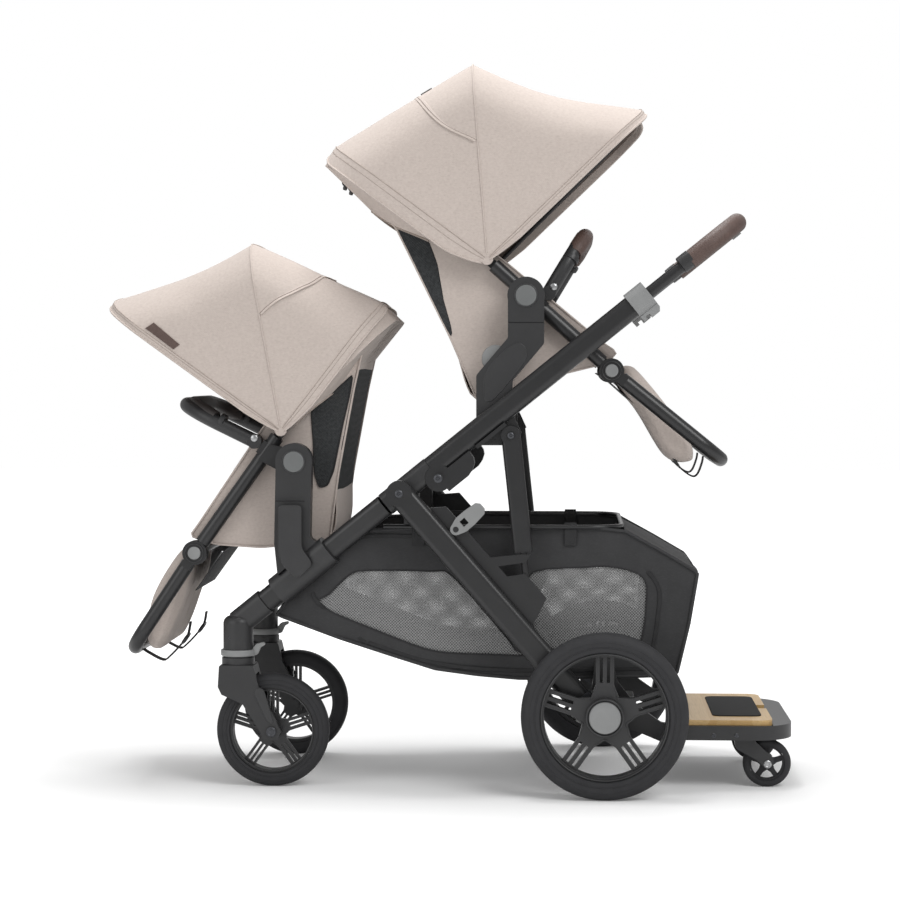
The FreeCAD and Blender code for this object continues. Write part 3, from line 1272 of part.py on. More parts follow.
def make_leg_rest(seat):
    """Leg rest hoop with its knee discs and caps, and the calf pad inside it."""
    rest = hoop(f"{seat}_rest", "2 * rail_half", f"{seat}_leg_rest_length", "leg_rest_bend", "rail_radius",
                start="knee_radius + gap")
    for side in ("-", ""):
        middle = f"({side}(rail_half + knee_layer))"
        plate(rest, box_points("-rail_neck", "rail_neck", "0", "knee_radius + rail_neck"), middle, "knee_depth")
        low = f"{middle} - knee_depth / 2"
        high = f"{middle} + knee_depth / 2"
        boss(rest, "0", "0", "knee_radius", low, high)
        boss(rest, "0", "0", "knee_pin_radius + pivot_play", f"{low} - overrun", f"{high} + overrun", "Pocket")
        cap = f"({side}(rail_half + rail_radius + knee_cap_height / 2))"
        boss(rest, "0", "0", "knee_cap_radius", f"{cap} - knee_cap_height / 2", f"{cap} + knee_cap_height / 2")
    place_on_seat(rest, seat, f"{seat}_knee_u", f"{seat}_knee_w", lean=f"{seat}_leg_rest_angle")
    keep(rest, f"{seat}_leg_rest_frame")

    pad = new_body(f"{seat}_calf")
    shares = UPPER_CALF_SHARES if seat == "upper" else LOWER_CALF_SHARES
    outline = shaped(shares, f"{seat}_calf_length", f"{seat}_calf_length")
    cushion(pad, outline, "calf_half")
    place_on_seat(pad, seat, f"{seat}_knee_u", f"{seat}_knee_w")
    keep(pad, f"{seat}_calf_pad")


def make_bumper(seat):
    """Bumper bar with its root discs."""
    bar = hoop(f"{seat}_bumper", "2 * bumper_half", f"{seat}_bumper_reach", "bumper_bend", "bumper_radius")
    for side in ("-", ""):
        middle = f"({side}bumper_half)"
        boss(bar, "0", "0", "bumper_radius", f"{middle} - bumper_radius", f"{middle} + bumper_radius")
    u, w = on_rail(seat, f"{seat}_bumper_along", "bumper_lift")
    place_on_seat(bar, seat, u, w, lean=f"{seat}_bumper_angle")
    keep(bar, f"{seat}_bumper_bar")


def make_shell(seat):
    """Fabric bucket of one seat: base, back and sides."""
    shell = new_body(f"{seat}_shell")
    outer, hollow = (UPPER_SHELL_SHARES, UPPER_HOLLOW_SHARES)
    if seat == "lower":
        outer, hollow = (LOWER_SHELL_SHARES, LOWER_HOLLOW_SHARES)
    length, height = f"{seat}_shell_length", f"{seat}_shell_height"
    plate(shell, shaped(outer, length, height), "0", "2 * seat_half", "2 * edge_round")
    drawing = sketch(shell, "XZ_Plane")
    polygon(drawing, shaped(hollow, length, height))
    feature(shell, "Pocket", drawing, "2 * (seat_half - seat_wall)", symmetric=True)
    place_on_seat(shell, seat)
    keep(shell, f"{seat}_seat_shell")


def make_canopy(seat):
    """Two bows and the two stretches of fabric over them."""
    for bow, half in (("front", "front_bow_half"), ("mid", "mid_bow_half")):
        reach = f"{seat}_{bow}_reach - canopy_shell - bow_play - bow_radius"
        made = hoop(f"{seat}_{bow}_bow", f"2 * {half}", reach, "canopy_bend - (canopy_half - front_bow_half)",
                    "bow_radius", start="bow_radius")
        for side in ("-", ""):
            middle = f"({side}{half})"
            low, high = f"{middle} - bow_radius + gap", f"{middle} + bow_radius - gap"
            boss(made, "0", "0", "eye_radius", low, high)
            boss(made, "0", "0", "pivot_pin_radius + pivot_play", f"{low} - gap", f"{high} + gap", "Pocket")
        lean = f"{seat}_{bow}_angle - bow_inset_angle" if bow == "front" else f"{seat}_{bow}_angle"
        place_on_seat(made, seat, f"{seat}_pivot_u", f"{seat}_pivot_w", lean=lean)
        keep(made, f"{seat}_canopy_bow_{bow}")
    for stretch, ends in (("front", ("front", "mid")), ("rear", ("mid", "rear"))):
        make_fabric(seat, stretch, ends)


def make_fabric(seat, stretch, ends):
    """One stretch of canopy fabric, taut between two bows and drawn in between them."""
    cloth = new_body(f"{seat}_canopy_{stretch}")
    first, last = ends
    leans = [f"{seat}_{first}_angle", f"{seat}_{last}_angle"]
    reaches = [f"{seat}_{first}_reach", f"{seat}_{last}_reach"]
    if first == "mid":
        leans[0] += " - canopy_split_angle"
    if last == "mid":
        leans[1] += " + canopy_split_angle"
    sag = SAG_SHARES[f"{seat}_{stretch}"]
    stops = [(leans[0], reaches[0]),
             (f"({leans[0]} + {leans[1]}) / 2", f"({reaches[0]} + {reaches[1]}) / 2 * {sag}"),
             (leans[1], reaches[1])]
    bands = [band(cloth, lean, reach) for lean, reach in stops]
    loft = cloth.newObject("PartDesign::AdditiveLoft", f"{seat}_{stretch}_loft")
    loft.Profile = bands[0]
    loft.Sections = bands[1:]
    loft.Ruled = True
    place_on_seat(cloth, seat, f"{seat}_pivot_u", f"{seat}_pivot_w")
    keep(cloth, f"{seat}_canopy_{stretch}")


def band(cloth, lean, reach):
    """Section of the canopy in a plane through its pivot: a thin arch, closed at its feet."""
    drawing = sketch(cloth, "YZ_Plane", lean=lean)
    outer = arch(drawing, "2 * canopy_half", reach, "canopy_bend", "canopy_start")
    inner = arch(drawing, "2 * (canopy_half - canopy_shell)", f"{reach} - canopy_shell",
                 "canopy_bend - canopy_shell", "canopy_start")
    fix(drawing, "DistanceY", (outer[0], 1), "canopy_start")
    low = Vector(value("-canopy_half"), value("canopy_start"), 0)
    high = Vector(value("canopy_shell - canopy_half"), value("canopy_start"), 0)
    left = drawing.addGeometry(Part.LineSegment(low, high))
    right = drawing.addGeometry(Part.LineSegment(Vector(-high.x, high.y, 0), Vector(-low.x, low.y, 0)))
    tie(drawing, "Coincident", left, 1, outer[0], 1)
    tie(drawing, "Coincident", left, 2, inner[0], 1)
    tie(drawing, "Horizontal", left)
    tie(drawing, "Coincident", right, 1, inner[4], 2)
    tie(drawing, "Coincident", right, 2, outer[4], 2)
    return drawing


def check(thing, label):
    """Stop if a sub-part or anything it is made of failed, or its solid is not sound."""
    shape = thing.Shape
    if shape.isNull() or not shape.isValid() or not shape.Solids or shape.Volume <= 0:
        raise ValueError(f"{label} has no sound solid")


make_front_frame()
make_upper_tubes()
make_handle()
make_legs()
make_axle()
make_wheels()
make_casters()
make_basket()
make_board()
make_adapters()
for seat in ("upper", "lower"):
    make_seat_frame(seat)
    make_leg_rest(seat)
    make_bumper(seat)
    make_shell(seat)
    make_canopy(seat)
doc.recompute()
failed = [item.Name for item in doc.Objects if "Invalid" in item.State or "Error" in item.State]
if failed:
    raise ValueError(f"not recomputed: {failed}")
os.makedirs("parts", exist_ok=True)
for label, thing in PIECES.items():
    check(thing, label)
    thing.Shape.exportStep(f"parts/{label}.step")
print(f"{len(PIECES)} sub-parts")
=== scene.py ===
"""Dresses the twin stroller: coated tubes, moulded plastic, woven canopies, padded seats, a net basket.

Lengths inside the classes are in millimetres, measured back from the rear axle (x), across (y) and up from
the floor (z). The function spot turns them into the scene's metres.
"""
import json
import logging
import math
from collections.abc import Callable, Sequence
from dataclasses import dataclass, field
from enum import Enum

import bmesh
import bpy
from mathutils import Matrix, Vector, noise
from mathutils.geometry import tessellate_polygon

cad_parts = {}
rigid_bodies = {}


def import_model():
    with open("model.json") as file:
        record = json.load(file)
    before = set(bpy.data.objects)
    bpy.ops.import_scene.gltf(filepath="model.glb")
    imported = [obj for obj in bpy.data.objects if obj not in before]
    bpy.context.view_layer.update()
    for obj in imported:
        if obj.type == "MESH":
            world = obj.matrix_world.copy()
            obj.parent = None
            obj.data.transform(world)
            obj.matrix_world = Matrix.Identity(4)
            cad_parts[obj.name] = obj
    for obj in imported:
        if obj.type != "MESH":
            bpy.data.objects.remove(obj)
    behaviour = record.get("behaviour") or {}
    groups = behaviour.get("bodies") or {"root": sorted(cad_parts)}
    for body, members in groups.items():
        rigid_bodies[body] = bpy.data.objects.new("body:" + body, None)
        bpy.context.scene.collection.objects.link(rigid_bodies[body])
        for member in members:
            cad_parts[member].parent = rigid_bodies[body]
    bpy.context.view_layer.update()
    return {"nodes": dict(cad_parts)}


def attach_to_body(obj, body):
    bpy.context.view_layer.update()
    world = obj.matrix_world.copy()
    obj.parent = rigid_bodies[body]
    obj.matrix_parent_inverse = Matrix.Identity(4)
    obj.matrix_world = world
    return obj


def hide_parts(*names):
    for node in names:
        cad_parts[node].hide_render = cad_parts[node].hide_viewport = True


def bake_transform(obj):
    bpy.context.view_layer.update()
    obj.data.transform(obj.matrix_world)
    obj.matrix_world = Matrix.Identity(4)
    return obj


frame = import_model()

LOG = logging.getLogger("twin_stroller")
MM = 0.001
REAR_AXLE = 277.0

Flat = tuple[float, float]
Mesh = tuple[list[Vector], list[tuple[int, ...]]]
Tree, Node, Socket = bpy.types.NodeTree, bpy.types.Node, bpy.types.NodeSocket
Material, Piece = bpy.types.Material, bpy.types.Object


class Side(Enum):
    """The two sides of the stroller, by the sign of their y."""

    LEFT = -1
    RIGHT = 1

    @property
    def word(self) -> str:
        """The side's name in piece names."""
        return self.name.lower()

    @property
    def out(self) -> Vector:
        """The direction away from the stroller's middle."""
        return Vector((0, self.value, 0))


def spot(x: float, z: float, y: float = 0.0) -> Vector:
    """A place on the stroller in the scene's metres.

    Args:
        x: millimetres behind the rear axle.
        z: millimetres above the floor.
        y: millimetres across.

    Returns:
        The same place in metres.
    """
    return Vector(((REAR_AXLE + x) * MM, y * MM, z * MM))


def mix(first: float, last: float, share: float) -> float:
    """A value between first and last."""
    return first + (last - first) * share


def smooth_step(low: float, high: float, at: float) -> float:
    """0 below low, 1 above high, and smooth between them."""
    share = min(max((at - low) / (high - low), 0.0), 1.0)
    return share * share * (3 - 2 * share)


def rounded(points: Sequence[Vector], per_span: int = 5, closed: bool = False) -> list[Vector]:
    """A smooth line through points.

    Args:
        points: the places that it passes.
        per_span: how many steps it has between two of them.
        closed: whether it returns to its first point.

    Returns:
        The line's own points.
    """
    count = len(points)
    line = []
    for index in range(count if closed else count - 1):
        ring = [points[(index + step) % count] if closed else points[min(max(index + step, 0), count - 1)]
                for step in (-1, 0, 1, 2)]
        for step in range(per_span):
            t = step / per_span
            line.append(0.5 * ((2 * ring[1]) + (ring[2] - ring[0]) * t
                               + (2 * ring[0] - 5 * ring[1] + 4 * ring[2] - ring[3]) * t * t
                               + (3 * ring[1] - ring[0] - 3 * ring[2] + ring[3]) * t ** 3))
    if not closed:
        line.append(points[-1].copy())
    return line


def spaced(points: Sequence[Vector], count: int) -> list[Vector]:
    """The same line with count points at even distances."""
    lengths = [0.0]
    for first, last in zip(points, points[1:]):
        lengths.append(lengths[-1] + (last - first).length)
    found, index = [], 0
    for step in range(count):
        at = lengths[-1] * step / (count - 1)
        while index < len(points) - 2 and lengths[index + 1] < at:
            index += 1
        span = max(lengths[index + 1] - lengths[index], 1e-9)
        found.append(points[index].lerp(points[index + 1], min((at - lengths[index]) / span, 1.0)))
    return found


def flat_rounded(outline: Sequence[Flat], per_span: int = 4) -> list[Flat]:
    """A closed flat outline made smooth."""
    line = rounded([Vector((x, z, 0)) for x, z in outline], per_span, closed=True)
    return [(point.x, point.y) for point in line]


def eased(outline: Sequence[Flat], radius: float, steps: int = 4) -> list[Flat]:
    """A closed flat outline with its corners cut round.

    Args:
        outline: the corners.
        radius: how far from each corner the rounding starts.
        steps: how many points each rounding has, less one.

    Returns:
        The new outline.
    """
    corners = [Vector(point) for point in outline]
    made = []
    for index, corner in enumerate(corners):
        before, after = corners[index - 1], corners[(index + 1) % len(corners)]
        start = corner + (before - corner).normalized() * min(radius, (before - corner).length * 0.45)
        end = corner + (after - corner).normalized() * min(radius, (after - corner).length * 0.45)
        for step in range(steps + 1):
            t = step / steps
            point = start * (1 - t) ** 2 + corner * 2 * t * (1 - t) + end * t * t
            made.append((point.x, point.y))
    return made


def shell_faces(height: int, width: int) -> list[tuple[int, ...]]:
    """The faces of a closed shell: a grid of points, the same grid on its other side, and the rim."""
    half = height * width
    faces: list[tuple[int, ...]] = []
    for i in range(height - 1):
        for a in range(i * width, i * width + width - 1):
            b, c, d = a + 1, a + width, a + width + 1
            faces += [(a, b, d, c), (half + a, half + c, half + d, half + b)]
    rim = list(range(width)) + [i * width + width - 1 for i in range(1, height)]
    rim += [(height - 1) * width + j for j in range(width - 2, -1, -1)]
    rim += [i * width for i in range(height - 2, 0, -1)]
    return faces + [(a, half + a, half + b, b) for a, b in zip(rim, rim[1:] + rim[:1])]


def closed_sheet(rows: Sequence[Sequence[Vector]], thickness: float, centre: Vector) -> Mesh:
    """A thin closed sheet over a grid of points, which are on its outer face.

    Args:
        rows: the grid.
        thickness: in millimetres, towards the inside.
        centre: a point on the inside.

    Returns:
        Its vertices and faces.
    """
    height, width = len(rows), len(rows[0])
    normals, turn = [], 0.0
    for i in range(height):
        for j in range(width):
            along = rows[min(i + 1, height - 1)][j] - rows[max(i - 1, 0)][j]
            across = rows[i][min(j + 1, width - 1)] - rows[i][max(j - 1, 0)]
            normal = along.cross(across)
            normal = normal.normalized() if normal.length > 1e-12 else Vector((0, 0, 0))
            turn += normal.dot(rows[i][j] - centre)
            normals.append(normal)
    inwards = -thickness * MM if turn >= 0 else thickness * MM
    points = [point for row in rows for point in row]
    verts = points + [point + normal * inwards for point, normal in zip(points, normals)]
    return verts, shell_faces(height, width)


def tube_faces(count: int, ring: int, closed: bool = False) -> list[tuple[int, ...]]:
    """The faces between rings of points one after another, capped unless the last meets the first."""
    faces: list[tuple[int, ...]] = []
    for index in range(count if closed else count - 1):
        a, b = index * ring, ((index + 1) % count) * ring
        for step in range(ring):
            after = (step + 1) % ring
            faces.append((a + step, a + after, b + after, b + step))
    if not closed:
        faces += [tuple(range(ring - 1, -1, -1)), tuple((count - 1) * ring + step for step in range(ring))]
    return faces


def swept(path: Sequence[Vector], ups: Sequence[Vector], section: Sequence[Flat], closed: bool = False,
          growth: Sequence[float] = ()) -> Mesh:
    """A closed section carried along a path.

    Args:
        path: the points that it follows, in metres.
        ups: one direction for each, in which the section's second number is measured.
        section: the section's outline in millimetres, across and up.
        closed: whether the path is a ring.
        growth: a factor on the section for each point, where it changes along the path.

    Returns:
        The vertices and faces.
    """
    count, ring = len(path), len(section)
    verts = []
    for index, point in enumerate(path):
        before = path[(index - 1) % count] if closed else path[max(index - 1, 0)]
        after = path[(index + 1) % count] if closed else path[min(index + 1, count - 1)]
        tangent = (after - before).normalized()
        up = (ups[index] - tangent * ups[index].dot(tangent)).normalized()
        beside = tangent.cross(up)
        size = growth[index] * MM if growth else MM
        verts += [point + beside * (a * size) + up * (b * size) for a, b in section]
    return verts, tube_faces(count, ring, closed)


def carried_ups(path: Sequence[Vector]) -> list[Vector]:
    """Directions square to a path that turn as little as they can along it."""
    up = (path[1] - path[0]).normalized().orthogonal().normalized()
    ups = []
    for index in range(len(path)):
        after = path[min(index + 1, len(path) - 1)]
        before = path[max(index - 1, 0)]
        new = (after - before).normalized()
        up = (up - new * up.dot(new)).normalized()
        ups.append(up.copy())
    return ups


def circle_section(radius: float, sides: int = 10) -> list[Flat]:
    """A round section."""
    return [(radius * math.cos(math.tau * k / sides), radius * math.sin(math.tau * k / sides))
            for k in range(sides)]


def strap_section(width: float, thickness: float) -> list[Flat]:
    """The section of a woven strap, its edges rounded."""
    a, b, ease = width / 2, thickness / 2, min(thickness / 2, width / 6)
    return [(-a, 0), (-a + ease, -b), (0, -b * 0.92), (a - ease, -b), (a, 0), (a - ease, b), (0, b * 0.92),
            (-a + ease, b)]


def tube(path: Sequence[Vector], radius: float, sides: int = 10, closed: bool = False) -> Mesh:
    """A round bar along a path, its radius in millimetres."""
    ups = carried_ups(path)
    if closed:
        ups = [Vector((0, 1, 0))] * len(path)
    return swept(path, ups, circle_section(radius, sides), closed)


def circle(centre: Vector, radius: float, count: int) -> list[Vector]:
    """The points of a circle seen from the side, its radius in millimetres."""
    turns = [math.tau * k / count for k in range(count)]
    return [centre + Vector((math.cos(turn), 0, math.sin(turn))) * (radius * MM) for turn in turns]


def ripples(where: Vector, *waves: Flat) -> float:
    """How far loose cloth wanders at a place, in millimetres, each wave given by its pace and its height."""
    return sum(noise.noise(where * pace) * height for pace, height in waves)


def strap(path: Sequence[Vector], up: Vector | Sequence[Vector], width: float, thickness: float) -> Mesh:
    """A flat woven strap along a path."""
    ups = [up] * len(path) if isinstance(up, Vector) else list(up)
    return swept(path, ups, strap_section(width, thickness))


def turned(profile: Sequence[Flat], centre: Vector, axis: Vector, sides: int = 40) -> Mesh:
    """A turned form.

    Args:
        profile: radius and distance along the axis in millimetres. An open end is capped.
        centre: where the axis starts.
        axis: its direction.
        sides: how many faces go round it.

    Returns:
        The vertices and faces.
    """
    axis = axis.normalized()
    first = axis.orthogonal().normalized()
    second = axis.cross(first)
    verts, rings = [], []
    for radius, along in profile:
        base = centre + axis * (along * MM)
        if radius <= 0:
            rings.append([len(verts)])
            verts.append(base)
            continue
        rings.append(list(range(len(verts), len(verts) + sides)))
        for k in range(sides):
            turn = math.tau * k / sides
            verts.append(base + (first * math.cos(turn) + second * math.sin(turn)) * (radius * MM))
    faces = []
    for low, high in zip(rings, rings[1:]):
        for k in range(sides):
            after = (k + 1) % sides
            if len(low) == 1 and len(high) > 1:
                faces.append((low[0], high[k], high[after]))
            elif len(high) == 1 and len(low) > 1:
                faces.append((low[k], low[after], high[0]))
            elif len(low) > 1:
                faces.append((low[k], low[after], high[after], high[k]))
    if len(rings[0]) > 1:
        faces.append(tuple(reversed(rings[0])))
    if len(rings[-1]) > 1:
        faces.append(tuple(rings[-1]))
    return verts, faces


def cut_patch(outline: Sequence[Flat], place: Callable[[float, float], Vector], thickness: float,
              holes: Sequence[Sequence[Flat]] = (), step: float = 14.0) -> Mesh:
    """A flat cut of cloth, laid on a curved place and given its thickness.

    Args:
        outline: its edge in millimetres.
        place: gives the scene's point for a point of the cut.
        thickness: in millimetres.
        holes: outlines of the windows in it.
        step: the distance between its inner points.

    Returns:
        The vertices and faces.
    """
    loops = [[Vector((x, z, 0)) for x, z in loop] for loop in (outline, *holes)]
    shape = bmesh.new()
    verts = [shape.verts.new(point) for loop in loops for point in loop]
    for corners in tessellate_polygon(loops):
        if len(set(corners)) == 3:
            shape.faces.new([verts[index] for index in corners])
    for axis in (0, 1):
        low = min(point[axis] for point in outline)
        high = max(point[axis] for point in outline)
        normal = Vector((1, 0, 0)) if axis == 0 else Vector((0, 1, 0))
        for index in range(1, int((high - low) / step) + 1):
            bmesh.ops.bisect_plane(shape, geom=shape.verts[:] + shape.edges[:] + shape.faces[:],
                                   plane_co=normal * (low + step * index), plane_no=normal)
    bmesh.ops.remove_doubles(shape, verts=shape.verts[:], dist=0.02)
    bmesh.ops.triangulate(shape, faces=[face for face in shape.faces if len(face.verts) > 4])
    for vert in shape.verts:
        vert.co = place(vert.co.x, vert.co.y)
    bmesh.ops.recalc_face_normals(shape, faces=shape.faces[:])
    bmesh.ops.solidify(shape, geom=shape.faces[:], thickness=thickness * MM)
    shape.verts.index_update()
    made = [vert.co.copy() for vert in shape.verts]
    faces = [tuple(vert.index for vert in face.verts) for face in shape.faces]
    shape.free()
    return made, faces


def prism(first: list[Vector], last: list[Vector]) -> Mesh:
    """A solid between two outlines that have the same number of points."""
    count = len(first)
    faces = [tuple(range(count)), tuple(range(2 * count - 1, count - 1, -1))]
    faces += [(k, (k + 1) % count, count + (k + 1) % count, count + k) for k in range(count)]
    return first + last, faces


def plate(outline: Sequence[Flat], low: float, high: float) -> Mesh:
    """An upright plate with an outline seen from the side, between two distances across."""
    return prism([spot(x, z, low) for x, z in outline], [spot(x, z, high) for x, z in outline])


@dataclass(frozen=True)
class Blend:
    """Two bodies that a cloth spans, and two places over the joint between them."""

    first: str
    last: str
    start: Vector
    end: Vector


def attach(piece: Piece, rider: "str | Blend") -> None:
    """Makes a piece move with its body; a piece given a Blend keeps its place and moves with neither."""
    if isinstance(rider, Blend):
        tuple(rider.start)
        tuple(rider.end)
        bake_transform(piece)
    else:
        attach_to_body(piece, rider)


def modify(piece: Piece, name: str, kind: str, **settings: object) -> bpy.types.Modifier:
    """Adds a modifier with its settings."""
    made = piece.modifiers.new(name, kind)
    for key, amount in settings.items():
        setattr(made, key, amount)
    return made


def build(name: str, mesh: Mesh, finish: Material, rider: "str | Blend | None", slot: str,
          bevel: float = 0.0, sharp: float = 42.0) -> Piece:
    """A piece of the stroller.

    Args:
        name: the piece's name.
        mesh: its vertices and faces.
        finish: its material.
        rider: what it moves with, or None where that is set later.
        slot: not used.
        bevel: how far its edges are rounded, in millimetres.
        sharp: the angle in degrees above which an edge shades as a crease.

    Returns:
        The object.
    """
    data = bpy.data.meshes.new(name)
    data.from_pydata([tuple(point) for point in mesh[0]], [], mesh[1])
    shape = bmesh.new()
    shape.from_mesh(data)
    bmesh.ops.recalc_face_normals(shape, faces=shape.faces[:])
    if shape.calc_volume(signed=True) < 0:
        bmesh.ops.reverse_faces(shape, faces=shape.faces[:])
    shape.to_mesh(data)
    shape.free()
    data.polygons.foreach_set("use_smooth", [True] * len(data.polygons))
    data.set_sharp_from_angle(angle=math.radians(sharp))
    data.materials.append(finish)
    piece = bpy.data.objects.new(name, data)
    bpy.context.scene.collection.objects.link(piece)
    if bevel:
        modify(piece, "rounding", "BEVEL", width=bevel * MM, segments=3, limit_method="ANGLE",
               angle_limit=math.radians(35))
    if rider is not None:
        attach(piece, rider)
    LOG.info("%s: %d faces", name, len(mesh[1]))
    return piece


def cut_size(outline: Sequence[Flat]) -> Flat:
    """The sides, in metres, of the smallest rectangle that an outline in millimetres can be cut from."""
    sizes = []
    for step in range(60):
        turn = math.radians(step * 1.5)
        along = [x * math.cos(turn) + z * math.sin(turn) for x, z in outline]
        beside = [z * math.cos(turn) - x * math.sin(turn) for x, z in outline]
        sizes.append(((max(along) - min(along)) * MM, (max(beside) - min(beside)) * MM))
    return min(sizes, key=lambda size: size[0] * size[1])


def patch_sheet(outline: Sequence[Flat]) -> None:
    """Works out the sides of the smallest rectangle that a piece cut to an outline comes from; the result is
    not kept.

    Args:
        outline: its edge in millimetres.
    """
    width, length = cut_size(outline)


def linear(code: str) -> tuple[float, float, float, float]:
    """An sRGB hex colour as the linear colour that a shader takes."""
    shares = [int(code[start:start + 2], 16) / 255 for start in (1, 3, 5)]
    red, green, blue = [share / 12.92 if share <= 0.04045 else ((share + 0.055) / 1.055) ** 2.4
                        for share in shares]
    return red, green, blue, 1.0


def add_node(tree: Tree, kind: str, inputs: dict | None = None, **settings: str) -> Node:
    """Adds one shader node.

    Args:
        tree: the material's or the world's nodes.
        kind: the node's type, without the words ShaderNode.
        inputs: for each of its sockets a value, or the socket that it is linked from.
        **settings: its own options.

    Returns:
        The node.
    """
    node = tree.nodes.new(f"ShaderNode{kind}")
    for key, amount in settings.items():
        setattr(node, key, amount)
    for key, amount in (inputs or {}).items():
        if isinstance(amount, Socket):
            tree.links.new(amount, node.inputs[key])
        else:
            node.inputs[key].default_value = amount
    return node


def per_metre(size_mm: float) -> float:
    """The texture scale at which one cell of a pattern is that many millimetres."""
    return 1000.0 / size_mm


@dataclass(frozen=True)
class Finish:
    """A finish: two near colours that vary in cloud-like patches, and a fine surface grain."""

    name: str
    light: str
    dark: str
    roughness: float
    patch_mm: float = 30.0
    grain_mm: float = 1.0
    grain_depth: float = 0.1
    metallic: float = 0.0
    specular: float = 0.5
    sheen: float = 0.0
    coat: float = 0.0

    def start(self) -> tuple[Material, Tree, Node, Socket]:
        """An empty material with its shader, and the place on the object.

        Returns:
            The material, its nodes, the shader and the socket of object coordinates.
        """
        made = bpy.data.materials.new(self.name)
        made.use_nodes = True
        tree = made.node_tree
        shader = tree.nodes["Principled BSDF"]
        shader.inputs["Roughness"].default_value = self.roughness
        shader.inputs["Metallic"].default_value = self.metallic
        shader.inputs["Specular IOR Level"].default_value = self.specular
        shader.inputs["Sheen Weight"].default_value = self.sheen
        shader.inputs["Coat Weight"].default_value = self.coat
        return made, tree, shader, add_node(tree, "TexCoord").outputs["Object"]

    def cloud(self, tree: Tree, where: Socket, size_mm: float,
              detail: float = 2.0) -> Socket:
        """Soft patches of a size, as a number from 0 to 1."""
        return add_node(tree, "TexNoise",
                        {"Vector": where, "Scale": per_metre(size_mm), "Detail": detail}).outputs["Fac"]

    def between(self, tree: Tree, factor: Socket,
                first: "Socket | str", last: "Socket | str") -> Socket:
        """A colour between two, by a factor."""
        ends = [linear(end) if isinstance(end, str) else end for end in (first, last)]
        return add_node(tree, "Mix", {0: factor, 6: ends[0], 7: ends[1]}, data_type="RGBA").outputs[2]

    def bump(self, tree: Tree, shader: Node, height: Socket,
             depth: float) -> None:
        """Puts a height on the shader as bump, its depth in millimetres."""
        node = add_node(tree, "Bump", {"Height": height, "Distance": depth * MM, "Strength": 1.0})
        tree.links.new(node.outputs["Normal"], shader.inputs["Normal"])

    def make(self) -> Material:
        """The material."""
        made, tree, shader, where = self.start()
        colour = self.between(tree, self.cloud(tree, where, self.patch_mm), self.dark, self.light)
        tree.links.new(colour, shader.inputs["Base Color"])
        self.bump(tree, shader, self.cloud(tree, where, self.grain_mm, 3.0), self.grain_depth)
        return made


@dataclass(frozen=True)
class WovenCloth(Finish):
    """Melange polyester canvas: light and dark yarns crossed, with loose patches of heather."""

    fleck: str = "#8F8178"
    thread_mm: float = 1.6

    def sum_up(self, tree: Tree, operation: str, *terms: "Socket | float") -> Socket:
        """What a sum gives, as a socket."""
        return add_node(tree, "Math", dict(enumerate(terms)), operation=operation).outputs[0]

    def weave(self, tree: Tree, where: Socket) -> Socket:
        """The height of crossed yarns, the same on upright and level cloth."""
        parts = add_node(tree, "SeparateXYZ", {"Vector": where})
        slope = self.sum_up(tree, "ADD", parts.outputs["Y"], parts.outputs["Z"])
        waves = []
        for axis in (parts.outputs["X"], slope):
            turned_by = self.sum_up(tree, "MULTIPLY", axis, math.pi * per_metre(self.thread_mm))
            waves.append(self.sum_up(tree, "SINE", turned_by))
        product = self.sum_up(tree, "MULTIPLY", *waves)
        return add_node(tree, "MapRange",
                        {"Value": product, "From Min": -1.0, "From Max": 1.0}).outputs[0]

    def make(self) -> Material:
        """The material."""
        made, tree, shader, where = self.start()
        base = self.between(tree, self.cloud(tree, where, self.patch_mm), self.dark, self.light)
        yarn = add_node(tree, "Mapping", {"Vector": where, "Scale": (0.35, 1.0, 1.0)})
        slub = self.cloud(tree, yarn.outputs["Vector"], 1.9, 3.0)
        sharp = add_node(tree, "MapRange",
                         {"Value": slub, "From Min": 0.5, "From Max": 0.8, "To Max": 0.42}).outputs[0]
        flecked = self.between(tree, sharp, base, self.fleck)
        height = self.weave(tree, where)
        shade = add_node(tree, "MapRange", {"Value": height, "To Min": 0.0, "To Max": 0.22}).outputs[0]
        tree.links.new(self.between(tree, shade, flecked, self.dark), shader.inputs["Base Color"])
        self.bump(tree, shader, height, self.grain_depth)
        return made


@dataclass(frozen=True)
class Netting(WovenCloth):
    """Warp-knitted net: threads with regular holes, through which the far side shows."""

    hole: float = 0.5
    clear: float = 0.5

    def make(self) -> Material:
        """The material."""
        made, tree, shader, where = self.start()
        height = self.weave(tree, where)
        colour = self.between(tree, height, self.dark, self.light)
        tree.links.new(colour, shader.inputs["Base Color"])
        self.bump(tree, shader, height, self.grain_depth)
        threads = add_node(tree, "MapRange",
                           {"Value": height, "From Min": self.hole - 0.1, "From Max": self.hole + 0.1,
                            "To Min": 1.0 - self.clear, "To Max": 1.0}).outputs[0]
        tree.links.new(threads, shader.inputs["Alpha"])
        return made


@dataclass(frozen=True)
class GrainedLeather(Finish):
    """Coated split leather: pebbled cells with creases between them painted darker as shade, and paler where
    hands rub it.
    """

    def make(self) -> Material:
        """The material."""
        made, tree, shader, where = self.start()
        cells = add_node(tree, "TexVoronoi", {"Vector": where, "Scale": per_metre(self.grain_mm)},
                         feature="DISTANCE_TO_EDGE").outputs["Distance"]
        pebble = add_node(tree, "MapRange", {"Value": cells, "From Max": 0.25}).outputs[0]
        patches = self.between(tree, self.cloud(tree, where, self.patch_mm, 4.0), self.dark, self.light)
        # The creases between the cells are painted darker: painted shade in the grain.
        painted_crease_shade = self.between(tree, pebble, self.dark, patches)
        tree.links.new(painted_crease_shade, shader.inputs["Base Color"])
        self.bump(tree, shader, pebble, self.grain_depth)
        return made


